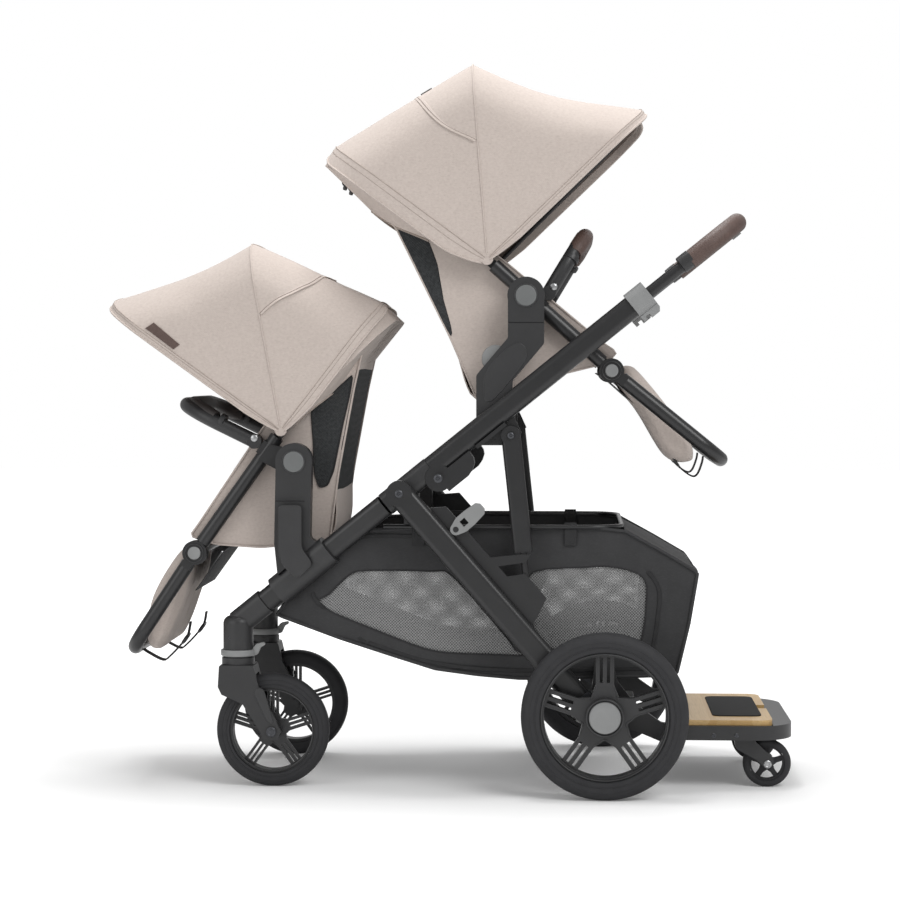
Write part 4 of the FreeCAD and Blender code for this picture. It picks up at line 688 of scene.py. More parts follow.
@dataclass(frozen=True)
class Bamboo(Finish):
    """Pressed bamboo strips under a clear coat, with fine fibres and now and then a node."""

    strip_mm: float = 18.0
    node: str = "#A6834A"

    def make(self) -> Material:
        """The material."""
        made, tree, shader, where = self.start()
        stretched = add_node(tree, "Mapping", {"Vector": where, "Scale": (1.0, 0.03, 1.0)})
        fibres = self.cloud(tree, stretched.outputs["Vector"], 1.6, 4.0)
        strips = add_node(tree, "Mapping", {"Vector": where, "Scale": (1.0, 0.01, 1.0)})
        strip = add_node(tree, "TexVoronoi",
                         {"Vector": strips.outputs["Vector"],
                          "Scale": per_metre(self.strip_mm)}).outputs["Color"]
        tone = add_node(tree, "SeparateColor", {"Color": strip}).outputs["Red"]
        base = self.between(tree, tone, self.dark, self.light)
        line = add_node(tree, "MapRange",
                        {"Value": fibres, "From Min": 0.45, "From Max": 0.75, "To Max": 0.5}).outputs[0]
        tree.links.new(self.between(tree, line, base, self.node), shader.inputs["Base Color"])
        self.bump(tree, shader, fibres, self.grain_depth)
        return made


class Finishes:
    """Every finish on the stroller, made once."""

    def __init__(self) -> None:
        """Makes the materials."""
        # Aluminium tube with a baked powder coat: satin, with a faint orange-peel ripple.
        self.tube = Finish("powder_coated_aluminium", "#272728", "#1F1F20", 0.33, grain_mm=2.5,
                           grain_depth=0.05).make()
        # Glass-filled nylon, moulded in a spark-eroded tool: an even fine grain that softens the light.
        self.plastic = Finish("moulded_nylon", "#303031", "#272728", 0.42, grain_mm=0.9,
                              grain_depth=0.06).make()
        # The same nylon on faces that the tool leaves smoother and a little paler.
        self.plastic_face = Finish("moulded_nylon_smooth", "#363637", "#2D2D2E", 0.38, grain_mm=1.4,
                                   grain_depth=0.03).make()
        # Acetal in mid grey for what hands press: satin and plain.
        self.grey = Finish("moulded_acetal_grey", "#8C8D8D", "#7E7F7F", 0.42, grain_mm=1.2,
                           grain_depth=0.03).make()
        # The same acetal a shade darker, on the hub buttons.
        self.dim_grey = Finish("moulded_acetal_dim", "#6F7171", "#636565", 0.45, grain_mm=1.2,
                               grain_depth=0.03).make()
        # Coated leather, brown, pebbled about 1.5 mm wide: drawn at 1.8 so that it shows.
        self.leather = GrainedLeather("grained_leather_brown", "#6E5850", "#4C3C37", 0.5, patch_mm=14.0,
                                      grain_mm=1.8, grain_depth=0.12).make()
        # The same leather made nearly black: painted shade on the lower seat's bumper. The upper canopy's tab
        # takes it too.
        self.dark_leather = GrainedLeather("grained_leather_dark", "#4B4644", "#353130", 0.5, patch_mm=14.0,
                                           grain_mm=1.8, grain_depth=0.12).make()
        # Melange canvas: its yarns lie 0.5 mm apart and are drawn at 1.6 so that they show.
        self.cloth = WovenCloth("woven_melange_canvas", "#CBC0B8", "#B8ACA5", 0.88, patch_mm=5.0,
                                grain_depth=0.1,
                                specular=0.2, sheen=0.12, fleck="#A0948C").make()
        # The canopy cloth made darker for the inner faces of the canopies and the drape: painted shade. The
        # zip teeth take the same colour.
        self.lining = WovenCloth("woven_lining", "#83776F", "#6B605A", 0.9, patch_mm=9.0, grain_depth=0.08,
                                 specular=0.15, fleck="#574D48").make()
        # Core-spun polyester thread, a shade darker than the cloth.
        self.thread = Finish("sewing_thread", "#A4978E", "#92867E", 0.8, grain_mm=0.8, grain_depth=0.1).make()
        # Spacer mesh on the seat backs: black, its holes 2 mm apart.
        self.mesh = WovenCloth("spacer_mesh_black", "#4C4E4F", "#1F2021", 0.85, patch_mm=4.0, grain_depth=0.5,
                               specular=0.2, fleck="#2A2B2C", thread_mm=2.4).make()
        # Coated polyester of the basket: a dull dark cloth with a fine crossed rib.
        self.basket = WovenCloth("coated_polyester_dark", "#3B3B3C", "#303031", 0.75, patch_mm=25.0,
                                 grain_depth=0.06, specular=0.3, fleck="#444445", thread_mm=1.4).make()
        # Basket net: grey threads 1 mm apart, drawn at 2.6, with the far side showing through the holes.
        self.net = Netting("basket_net", "#858585", "#797979", 0.7, grain_depth=0.1, thread_mm=2.6,
                           hole=0.45, clear=0.72).make()
        # Foam-filled tyre rubber: matt and faintly dusty.
        self.rubber = Finish("tyre_rubber", "#343436", "#29292B", 0.72, patch_mm=22.0, grain_mm=1.5,
                             grain_depth=0.12, specular=0.35).make()
        # Rubber grip sheet on the deck: matt black with a close stipple.
        self.grip_sheet = Finish("stippled_rubber_sheet", "#1C1C1D", "#161617", 0.8, grain_mm=2.0,
                                 grain_depth=0.35,
                                 specular=0.3).make()
        # Pressed bamboo under a satin clear coat.
        self.bamboo = Bamboo("pressed_bamboo", "#D2B078", "#C19A5C", 0.42, grain_depth=0.04, coat=0.25).make()
        # Bright zinc-plated steel of screws and pins.
        self.steel = Finish("zinc_plated_steel", "#B9BABB", "#A2A3A4", 0.32, metallic=1.0, grain_mm=1.0,
                            grain_depth=0.02).make()
        # The same steel blackened, on axles and bolts.
        self.dark_steel = Finish("blackened_steel", "#55565A", "#47484B", 0.4, metallic=0.8, grain_mm=1.0,
                                 grain_depth=0.02).make()
        # Polyester webbing: close cross ribs, 1 mm apart in life.
        self.webbing = WovenCloth("polyester_webbing", "#333334", "#222223", 0.7, patch_mm=12.0,
                                  grain_depth=0.25,
                                  specular=0.3, fleck="#2B2B2C", thread_mm=1.8).make()


class Stage:
    """The pale floor, the soft lamps and the camera of the photograph."""

    focal_px = 2389.27
    frame_px = 900
    eye = (214.66, -4448.0, 740.2)
    yaw = -0.0499
    dip = 0.0316

    def camera(self) -> None:
        """The camera at the photograph's place and angle."""
        data = bpy.data.cameras.new("camera")
        data.sensor_width = 36.0
        data.lens = self.focal_px * data.sensor_width / self.frame_px
        camera = bpy.data.objects.new("camera", data)
        forward = Vector((math.sin(self.yaw) * math.cos(self.dip), math.cos(self.yaw) * math.cos(self.dip),
                          -math.sin(self.dip)))
        camera.location = Vector(self.eye) * MM
        camera.rotation_euler = forward.to_track_quat("-Z", "Y").to_euler()
        bpy.context.scene.collection.objects.link(camera)
        bpy.context.scene.camera = camera

    def lamp(self, name: str, place: tuple[float, float, float], target: tuple[float, float, float],
             size: float,
             power: float) -> None:
        """One soft square lamp.

        Args:
            name: its name.
            place: where it hangs, in metres.
            target: what it faces.
            size: its side in metres.
            power: in watts.
        """
        data = bpy.data.lights.new(name, "AREA")
        data.size = size
        data.energy = power
        lamp = bpy.data.objects.new(name, data)
        lamp.location = place
        lamp.rotation_euler = (Vector(target) - Vector(place)).to_track_quat("-Z", "Y").to_euler()
        bpy.context.scene.collection.objects.link(lamp)

    def surroundings(self) -> None:
        """A white surround for the camera, with a dimmer one that lights the stroller."""
        world = bpy.data.worlds.new("studio")
        world.use_nodes = True
        tree = world.node_tree
        tree.nodes.clear()
        path = add_node(tree, "LightPath")
        seen = add_node(tree, "Background", {"Color": (1, 1, 1, 1), "Strength": 1.0})
        lit = add_node(tree, "Background", {"Color": (1, 1, 1, 1), "Strength": 0.45})
        both = add_node(tree, "MixShader",
                        {0: path.outputs["Is Camera Ray"], 1: lit.outputs[0], 2: seen.outputs[0]})
        add_node(tree, "OutputWorld", {"Surface": both.outputs[0]})
        bpy.context.scene.world = world

    def floor(self) -> None:
        """A wide pale floor that keeps the stroller's shadow."""
        half = 14.0
        data = bpy.data.meshes.new("floor")
        data.from_pydata([(-half, -half, 0), (half, -half, 0), (half, half, 0), (-half, half, 0)], [],
                         [(0, 1, 2, 3)])
        pale = bpy.data.materials.new("pale_floor")
        pale.use_nodes = True
        tree = pale.node_tree
        shader = tree.nodes["Principled BSDF"]
        shader.inputs["Base Color"].default_value = linear("#F4F4F4")
        shader.inputs["Roughness"].default_value = 0.9
        shader.inputs["Specular IOR Level"].default_value = 0.0
        where = add_node(tree, "TexCoord").outputs["Object"]
        away = add_node(tree, "VectorMath", {0: where}, operation="LENGTH").outputs["Value"]
        level = add_node(tree, "MapRange", {"Value": away, "From Min": 1.0, "From Max": 3.2, "To Min": 0.09,
                                            "To Max": 0.75}, interpolation_type="SMOOTHSTEP").outputs[0]
        lift = add_node(tree, "Emission", {"Color": (1, 1, 1, 1), "Strength": level})
        path = add_node(tree, "LightPath")
        seen = add_node(tree, "AddShader", {0: shader.outputs[0], 1: lift.outputs[0]})
        both = add_node(tree, "MixShader",
                        {0: path.outputs["Is Camera Ray"], 1: shader.outputs[0], 2: seen.outputs[0]})
        tree.links.new(both.outputs[0], tree.nodes["Material Output"].inputs["Surface"])
        data.materials.append(pale)
        floor = bpy.data.objects.new("floor", data)
        bpy.context.scene.collection.objects.link(floor)

    def make(self) -> None:
        """Sets up the stage."""
        bpy.context.scene.view_settings.view_transform = "Standard"
        self.camera()
        self.surroundings()
        self.floor()
        self.lamp("key", (2.0, -2.4, 3.0), (0.0, 0.0, 0.7), 1.8, 62.0)
        self.lamp("fill", (-2.6, -2.6, 1.6), (-0.1, 0.0, 0.6), 2.2, 26.0)
        self.lamp("top", (-0.2, 0.3, 3.6), (-0.1, 0.0, 0.5), 1.3, 76.0)
        self.lamp("back", (0.4, 3.0, 2.4), (0.0, 0.0, 0.7), 2.4, 22.0)


@dataclass(frozen=True)
class Bow:
    """One line of a canopy: its lean forwards from plumb in degrees, and its reach from the pivot."""

    lean: float
    reach: float


@dataclass(frozen=True)
class SeatPlace:
    """Where one seat sits and which way it faces."""

    name: str
    hub_x: float
    hub_z: float
    facing: int
    pivot: Flat
    knee: Flat

    def point(self, u: float, w: float, y: float = 0.0) -> Vector:
        """A place u in front of and w above the seat's hub."""
        return spot(self.hub_x + self.facing * u, self.hub_z + w, y)

    def local(self, x: float, z: float) -> Flat:
        """A side-view point as distances in front of and above the hub."""
        return (x - self.hub_x) * self.facing, z - self.hub_z


@dataclass
class Canopy:
    """A sun canopy: cloth over three bows, its hems, seams, corners and the drape behind it."""

    seat: SeatPlace
    front: Bow
    mid: Bow
    rear: Bow
    front_sag: float
    rear_sag: float
    front_hem: float
    rear_hem: float
    drape: list[tuple[float, float, float]]
    zip_route: list[Flat]
    labels: list[tuple[Bow, float, list[Flat], bool]]
    loops: list[tuple[float, float, float]]
    frame_bow: Bow
    finishes: Finishes
    half: float = 195.5
    bend: float = 96.0
    start: float = 4.0
    crown: float = 7.0
    pull: float = 5.0
    foot: float = 60.0
    top_hem: float = 10.0
    steps: int = 72
    cloth_mm: float = 1.8

    def polar(self, lean: float, reach: float, y: float = 0.0) -> Vector:
        """A place at a lean and a distance from the pivot."""
        turn = math.radians(lean)
        u, w = self.seat.pivot
        return self.seat.point(u + reach * math.sin(turn), w + reach * math.cos(turn), y)

    @property
    def centre(self) -> Vector:
        """A place under the canopy, on its inner side."""
        return self.polar(0, 60)

    def arch(self, share: float, reach: float) -> Flat:
        """A point of the arch over the seat.

        Args:
            share: from 0 at the left foot to 1 at the right one.
            reach: the arch's height from the pivot.

        Returns:
            Its distance across, and its distance from the pivot.
        """
        side = -1.0 if share < 0.5 else 1.0
        half_share = min(share, 1 - share) * 2
        leg, curve = 0.5, 0.8
        if half_share < leg:
            y, r = self.half, mix(self.start, reach - self.bend, half_share / leg)
        elif half_share < curve:
            turn = (half_share - leg) / (curve - leg) * math.pi / 2
            y = self.half - self.bend * (1 - math.cos(turn))
            r = reach - self.bend * (1 - math.sin(turn))
        else:
            y, r = (self.half - self.bend) * (1 - (half_share - curve) / (1 - curve)), reach
        top = smooth_step(reach - self.bend, reach, r)
        return side * y, r - self.crown * top * (y / self.half) ** 2

    def across(self, share: float) -> float:
        """1 over the top of the seat and 0 down its sides."""
        return smooth_step(0.34, 0.46, min(share, 1 - share))

    def cloth(self, first: Bow, last: Bow, sag: float, share: float, t: float,
              back_off: float = 0.0) -> Vector:
        """A place on the cloth between two bows.

        Args:
            first: the bow that it starts from.
            last: the bow that it ends at.
            sag: how far it draws in halfway, as a share of the reach.
            share: the place round the arch.
            t: the place from the first bow to the last.
            back_off: how far the last line falls short of its bow over the top, in millimetres.

        Returns:
            The place in the scene.
        """
        ease = 4 * t * (1 - t)
        reach = mix(first.reach, last.reach, t) * (1 - sag * ease)
        y, r = self.arch(share, reach)
        taut = min(max((r - self.foot) / max(reach - self.foot, 1), 0), 1)
        drawn = self.pull * ease * math.sin(math.pi * taut) ** 0.7
        turn = math.degrees(back_off * self.across(share) / last.reach)
        lean = mix(first.lean, last.lean - turn, t)
        where = self.polar(lean, r, math.copysign(abs(y) - drawn * (1 - self.across(share)), y))
        height = ripples(where, (16.0, 1.3), (45.0, 0.35)) * ease
        return where + (where - self.centre).normalized() * (height * MM)

    def panel(self, name: str, first: Bow, last: Bow, sag: float, back_off: float, rider: Blend,
              node: str) -> list[Vector]:
        """One stretch of canopy cloth between two bows.

        Args:
            name: the piece's name.
            first: the bow that it starts from, in the middle of the canopy.
            last: the bow at its edge.
            sag: how far it draws in, as a share.
            back_off: as in cloth.
            rider: how it moves.
            node: the CAD node that it stands for.

        Returns:
            The line of its outer edge.
        """
        wide, down = range(self.steps + 1), 22
        rows = [[self.cloth(first, last, sag, k / self.steps, j / down, back_off) for k in wide]
                for j in range(down + 1)]
        piece = build(name, closed_sheet(rows, self.cloth_mm, self.centre), self.finishes.cloth, None,
                      "fabric",
                      sharp=60)
        # The inner faces take the darker cloth: painted shade under the canopy.
        self.line_inside(piece, (down + 1) * len(wide))
        attach(piece, rider)
        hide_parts(node)
        return rows[-1]

    def line_inside(self, piece: Piece, outer: int) -> None:
        """Gives the inner faces of a sheet the darker cloth, which is painted shade."""
        piece.data.materials.append(self.finishes.lining)
        for face in piece.data.polygons:
            if all(index >= outer for index in face.vertices):
                face.material_index = 1

    def seam(self, name: str, line: Sequence[Vector], rider: "str | Blend", radius: float = 0.42,
             finish: Material | None = None) -> None:
        """A sewn line that stands just proud of the cloth."""
        lifted = [point + (point - self.centre).normalized() * (0.3 * MM) for point in line]
        build(name, tube(lifted, radius, 8), finish or self.finishes.thread, rider, "fabric")

    def hem(self, name: str, edge: Sequence[Vector], width: float, lean: float, forwards: int,
            rider: "str | Blend") -> None:
        """The folded band beyond a canopy's last seam, with its rolled edge and stitching.

        Args:
            name: the piece's name.
            edge: the seam that it hangs from.
            width: the band's width on the sides, in millimetres.
            lean: the lean of its bow.
            forwards: 1 where it points to the front of the seat, or -1.
            rider: how it moves.
        """
        turn = math.radians(lean)
        beyond = Vector((self.seat.facing * math.cos(turn), 0, -math.sin(turn))) * forwards
        pivot = self.polar(0, 0)
        foot = [(point - pivot) * Vector((1, 0, 1)) / MM for point in edge]
        rows = []
        for j in range(7):
            reach = j / 6
            row = []
            for k, point in enumerate(edge):
                over = self.across(k / (len(edge) - 1))
                taper = math.sqrt(min((foot[k].length + 6) / 76, 1))
                out = (point - self.centre).normalized()
                row.append(point + beyond * (mix(width, self.top_hem, over) * taper * reach * MM)
                           + out * ((1.1 - 2.5 * over * reach ** 2) * MM))
            rows.append(row)
        build(f"{name}_band", closed_sheet(rows, 2.8, self.centre), self.finishes.cloth, rider, "fabric",
              sharp=60)
        build(f"{name}_roll", tube(rows[-1], 1.9), self.finishes.cloth, rider, "fabric")
        self.seam(f"{name}_stitch_inner", rows[0], rider)
        self.seam(f"{name}_stitch_outer", rows[2], rider, 0.3)

    def zip_line(self, route: Sequence[Flat], rider: Blend) -> None:
        """The covered zip that lets the rear stretch open, from one side over the top to the other.

        Args:
            route: from its foot to the middle, the place round the arch and the place from the mid bow to the
                rear one.
            rider: how it moves.
        """
        near = rounded([Vector((share, t, 0)) for share, t in route], 6)
        whole = near + [Vector((1 - point.x, point.y, 0)) for point in reversed(near)][1:]
        count = 90
        line = spaced([self.cloth(self.mid, self.rear, self.rear_sag, at.x, at.y) for at in whole], count)
        ups = [(point - self.centre).normalized() for point in line]
        sides = [(line[min(k + 1, count - 1)] - line[max(k - 1, 0)]).normalized().cross(ups[k])
                 for k in range(count)]
        name = f"{self.seat.name}_canopy_zip"
        for number, offset in enumerate((-2.6, 3.0)):
            moved = [point + side * (offset * MM) + up * (0.6 * MM) for point, side,
                     up in zip(line, sides, ups)]
            build(f"{name}_lip_{number}", strap(moved, ups, 5.2, 1.4), self.finishes.cloth, rider, "fabric")
        raised = [point + up * (0.5 * MM) for point, up in zip(line, ups)]
        # The teeth take the darker cloth that paints the shade inside the canopy.
        build(f"{name}_teeth", tube(raised, 0.7, 8), self.finishes.lining, rider, "fabric")

    def label(self, name: str, bow: Bow, sag: float, corners: list[Flat], finish: Material,
              rider: Blend) -> None:
        """A small bare tab sewn on the cloth.

        Args:
            name: the piece's name.
            bow: the bow at the outer edge of its stretch.
            sag: that stretch's sag.
            corners: its corners in turn, each as the place round the arch and from the mid bow to that bow.
            finish: its material.
            rider: how it moves.
        """
        rows = []
        for j in range(7):
            row = []
            for k in range(9):
                share, out = (mix(mix(corners[0][axis], corners[1][axis], k / 8),
                                  mix(corners[3][axis], corners[2][axis], k / 8), j / 6) for axis in (0, 1))
                point = self.cloth(self.mid, bow, sag, share, out)
                row.append(point + (point - self.centre).normalized() * (2.6 * MM))
            rows.append(row)
        build(name, closed_sheet(rows, 2.0, self.centre), finish, rider, "leather", bevel=0.4)

    def hem_loops(self) -> None:
        """The webbing loops at the rear hem, each with its toggle."""
        seat = self.seat
        tilt = Vector((0.3, 0, 1)).normalized()
        for number, (x, z, y) in enumerate(self.loops):
            top = seat.point(*seat.local(x, z), y)
            hang = [top + Vector((a * MM, 0, -b * MM)) for a,
                    b in ((0, 0), (4, 10), (1, 19), (-5, 12), (0, 0))]
            build(f"{seat.name}_canopy_loop_{number}", tube(rounded(hang, 6), 1.5), self.finishes.webbing,
                  f"{seat.name}_seat", "fabric")
            toggle = turned([(0, -5), (3.4, -4.4), (4.4, 0), (3.4, 4.4), (0, 5)],
                            top - Vector((0, 0, 21 * MM)), tilt, 20)
            build(f"{seat.name}_canopy_toggle_{number}", toggle, self.finishes.plastic_face,
                  f"{seat.name}_seat", "dark_plastic")

    def draped(self) -> None:
        """The cloth that hangs from the rear hem to the seat back."""
        seat = self.seat
        ring = rounded([seat.point(*seat.local(x, z), y) for x, z, y in self.drape], 6)
        count, upper_rows, lower_rows = 60, 4, 12
        mirrored = [Vector((point.x, -point.y, point.z)) for point in reversed(ring)]
        low = spaced(ring + mirrored[1:], count + 1)
        first_share = 0.13
        top, over = [], []
        for k in range(count + 1):
            share = mix(first_share, 1 - first_share, k / count)
            for line, bow, inset in ((top, self.rear, 3.0), (over, self.frame_bow, 0.0)):
                y, r = self.arch(share, bow.reach - inset)
                line.append(self.polar(bow.lean, r, y * 0.985))
        rows = [[first.lerp(last, j / upper_rows) for first,
                 last in zip(top, over)] for j in range(upper_rows)]
        for j in range(lower_rows + 1):
            t = j / lower_rows
            row = []
            for k in range(count + 1):
                point = over[k].lerp(low[k], t)
                fold = math.sin(math.pi * t) * (3.0 * math.sin(k * 0.55) + 3.0)
                away = point - self.centre
                away.z = 0
                row.append(point - away.normalized() * (fold * MM))
            rows.append(row)
        name = f"{seat.name}_canopy_drape"
        piece = build(name, closed_sheet(rows, 1.6, self.centre), self.finishes.cloth, f"{seat.name}_seat",
                      "fabric", sharp=60)
        # The drape's inner faces take the darker cloth: painted shade.
        self.line_inside(piece, len(rows) * (count + 1))
        build(f"{name}_binding", tube(low, 1.8), self.finishes.thread, f"{seat.name}_seat", "fabric")

    def corners(self) -> None:
        """The cloth disc over each pivot, where the two hems meet."""
        for side in Side:
            centre = self.polar(0, 0, side.value * (self.half - 1.2))
            disc = turned([(0, 0), (10.6, 0), (11.4, 1.0), (10.6, 2.0), (0, 2.3)], centre, side.out, 32)
            build(f"{self.seat.name}_canopy_corner_{side.word}", disc, self.finishes.cloth,
                  f"{self.seat.name}_seat", "fabric")

    def make(self) -> None:
        """Builds the canopy."""
        name = self.seat.name
        turn = math.radians(self.mid.lean)
        ahead = Vector((self.seat.facing * math.cos(turn), 0, -math.sin(turn)))
        pivot = self.polar(0, 0)
        fold = 215 * MM
        front = Blend(f"{name}_mid_bow", f"{name}_front_bow", pivot, pivot + ahead * fold)
        rear = Blend(f"{name}_seat", f"{name}_mid_bow", pivot - ahead * fold, pivot)
        front_edge = self.panel(f"{name}_canopy_front_cloth", self.mid, self.front, self.front_sag, 12.0,
                                front,
                                f"{name}_canopy_front")
        rear_edge = self.panel(f"{name}_canopy_rear_cloth", self.mid, self.rear, self.rear_sag, -7.0, rear,
                               f"{name}_canopy_rear")
        self.hem(f"{name}_canopy_front_hem", front_edge, self.front_hem, self.front.lean, 1, front)
        self.hem(f"{name}_canopy_rear_hem", rear_edge, self.rear_hem, self.rear.lean, -1, f"{name}_seat")
        ridge = [self.cloth(self.mid, self.front, 0.0, k / self.steps, 0.0) for k in range(self.steps + 1)]
        proud = [point + (point - self.centre).normalized() * (0.2 * MM) for point in ridge]
        build(f"{name}_canopy_mid_piping", tube(proud, 1.5), self.finishes.cloth, f"{name}_mid_bow", "fabric")
        self.zip_line(self.zip_route, rear)
        for number, (bow, sag, corners, leather) in enumerate(self.labels):
            self.label(f"{name}_canopy_tab_{number}", bow, sag, corners,
                       self.finishes.leather if leather else self.finishes.dark_leather,
                       front if bow == self.front else rear)
        self.hem_loops()
        self.draped()
        self.corners()


@dataclass
class Padding:
    """Pads that are blown up by cloth simulation, all in one run."""

    voxel: float = 5.5
    last_frame: int = 20
    stuffing: dict[str, float] = field(default_factory=lambda: {
        "quality": 6, "mass": 0.3, "tension_stiffness": 18, "compression_stiffness": 18,
        "bending_stiffness": 1.2, "use_pressure": True, "uniform_pressure_force": 4.0})
    waiting: list[tuple[Piece, float]] = field(default_factory=list)

    def add(self, piece: Piece, limit: float) -> None:
        """Remeshes a pad and keeps it for the run.

        Args:
            piece: the pad's slim starting form.
            limit: how far any point may move, in millimetres.
        """
        modify(piece, "even_mesh", "REMESH", mode="VOXEL", voxel_size=self.voxel * MM)
        self.settle(piece)
        cloth = modify(piece, "filling", "CLOTH")
        for key, amount in self.stuffing.items():
            setattr(cloth.settings, key, amount)
        cloth.settings.effector_weights.gravity = 0.0
        cloth.point_cache.frame_start = 1
        cloth.point_cache.frame_end = self.last_frame
        self.waiting.append((piece, limit))

    def settle(self, piece: Piece) -> None:
        """Replaces a piece's mesh by what its modifiers give."""
        shown = piece.evaluated_get(bpy.context.evaluated_depsgraph_get())
        data = bpy.data.meshes.new_from_object(shown)
        piece.modifiers.clear()
        old = piece.data
        piece.data = data
        bpy.data.meshes.remove(old)

    def run(self) -> None:
        """Steps the simulation, limits it, and leaves smooth meshes."""
        scene = bpy.context.scene
        for number in range(1, self.last_frame + 1):
            scene.frame_set(number)
        for piece, limit in self.waiting:
            rest = [vert.co.copy() for vert in piece.data.vertices]
            self.settle(piece)
            for vert, old in zip(piece.data.vertices, rest):
                moved = vert.co - old
                if moved.length > limit * MM:
                    vert.co = old + moved.normalized() * (limit * MM)
            modify(piece, "even", "SMOOTH", iterations=4, factor=0.5)
            modify(piece, "soft", "SUBSURF", levels=1, render_levels=1)
            self.settle(piece)
            piece.data.polygons.foreach_set("use_smooth", [True] * len(piece.data.polygons))
        scene.frame_set(1)


@dataclass
class SeatUnit:
    """A seat: its outer cloth, back mesh, padded liner, harness, leg rest pad, bumper sleeve and knees."""

    seat: SeatPlace
    outer: list[Flat]
    back: list[Flat]
    back_mesh: Flat
    floor: list[Flat]
    rest: list[Flat]
    wedge: list[Flat]
    calf: list[Flat]
    under: list[Flat]
    foot_strap: list[Flat]
    bumper: tuple[float, float, float, float]
    finishes: Finishes
    padding: Padding
    bumper_finish: Material
    half: float = 155.5
    pad_half: float = 140.0
    sleeve_start: int = 20
    pads: list[tuple[Piece, float, str]] = field(default_factory=list)

    @property
    def body(self) -> str:
        """The seat's body."""
        return f"{self.seat.name}_seat"

    def middle(self) -> Vector:
        """A place inside the seat."""
        return self.seat.point(-20, 40)

    def side_cloth(self, side: Side) -> None:
        """The outer side of the seat with its bound edge and the mesh wedge behind it."""
        name = f"{self.seat.name}_side_{side.word}"

        def laid(x: float, z: float) -> Vector:
            """A point of the side, with the slack that hung cloth has."""
            where = spot(x, z, side.value * self.half)
            slack = ripples(where, (13.0, 1.6), (40.0, 0.5))
            return spot(x, z, side.value * (self.half - 0.4 + slack))

        def over(x: float, z: float) -> Vector:
            """A point of the wedge, just outside the side."""
            return laid(x, z) + side.out * (1.5 * MM)

        outline = eased(self.outer, 8.0)
        side_piece = build(name, cut_patch(outline, laid, 2.2), self.finishes.cloth, self.body, "fabric",
                           sharp=60)
        patch_sheet(outline)
        edge = spaced([over(x, z) for x, z in outline] + [over(*outline[0])], 150)
        build(f"{name}_binding", tube(edge[:-1], 1.9, 8, closed=True), self.finishes.cloth, self.body,
              "fabric")
        wedge = eased(self.wedge, 5.0)
        wedge_piece = build(f"{name}_wedge", cut_patch(wedge, over, 1.4, step=10.0), self.finishes.mesh,
                            self.body,
                            "fabric", sharp=60)
        patch_sheet(wedge)
        line = spaced([over(x, z) for x, z in wedge] + [over(*wedge[0])], 90)
        build(f"{name}_wedge_binding", tube(line[:-1], 1.5, 8, closed=True), self.finishes.webbing, self.body,
              "fabric")

    def back_cloth(self) -> None:
        """The outer back and underside: cloth above and below, mesh between."""
        line = spaced(rounded([spot(x, z) for x, z in self.back], 5), 61)
        high, low = self.back_mesh[0] * MM, self.back_mesh[1] * MM
        base_from = 44
        belongs = ["mesh" if low <= point.z <= high and index < base_from else "cloth"
                   for index, point in enumerate(line)]
        start = number = 0
        for index in range(1, len(line) + 1):
            if index < len(line) and belongs[index] == belongs[start]:
                continue
            part = line[start:min(index + 1, len(line))]
            if len(part) > 1:
                rows = []
                for point in part:
                    row = []
                    for k in range(33):
                        across = mix(-1, 1, k / 32)
                        y = across * (self.half - 1.0)
                        bulge = (1 - across ** 2) * 3.0 + noise.noise(Vector((point.x * 14, y * 0.014,
                                                                              3))) * 1.4
                        out = (point - self.middle())
                        out.y = 0
                        row.append(point + out.normalized() * ((bulge - 1.0) * MM) + Vector((0, y * MM, 0)))
                    rows.append(row)
                finish = self.finishes.mesh if belongs[start] == "mesh" else self.finishes.cloth
                piece = build(f"{self.seat.name}_back_{belongs[start]}_{number}",
                              closed_sheet(rows, 2.0, self.middle()), finish, self.body, "fabric", sharp=60)
                number += 1
            start = index

    def slab(self, name: str, line: Sequence[Flat], half: float, thick: float, finish: Material,
             rider: "str | Blend | None", lift: float) -> Piece:
        """A slim pad along a side-view line, before it is blown up.

        Args:
            name: its name.
            line: the line under it.
            half: half its width.
            thick: its thickness.
            finish: its material.
            rider: what it moves with.
            lift: how far its face lies above the line.

        Returns:
            The pad.
        """
        count, wide = 30, 24
        path = spaced(rounded([spot(x, z) for x, z in line], 4), count)
        upper, lower = [], []
        for index, point in enumerate(path):
            along = (path[min(index + 1, count - 1)] - path[max(index - 1, 0)]).normalized()
            up = Vector((-along.z, 0, along.x))
            if up.dot(self.middle() - point) < 0:
                up = -up
            end = 1 - abs(2 * index / (count - 1) - 1) ** 8
            for k in range(wide + 1):
                across = mix(-1, 1, k / wide)
                swell = thick / 2 * mix(0.35, 1.0, (1 - abs(across) ** 8) * end)
                y = Vector((0, across * half * MM, 0))
                upper.append(point + up * ((lift - thick / 2 + swell) * MM) + y)
                lower.append(point + up * ((lift - thick / 2 - swell) * MM) + y)
        return build(name, (upper + lower, shell_faces(count, wide + 1)), finish, rider, "fabric", sharp=80)

    def liner(self) -> None:
        """The padded base and back inside the seat."""
        for name, line, fill in ((f"{self.seat.name}_base_pad", self.floor, 0.6),
                                 (f"{self.seat.name}_back_pad", self.rest, 0.55)):
            pad = self.slab(name, line, self.pad_half, 13.0, self.finishes.cloth, None, 7.0)
            self.padding.add(pad, 7.0)
            self.pads.append((pad, 62.0, self.body))

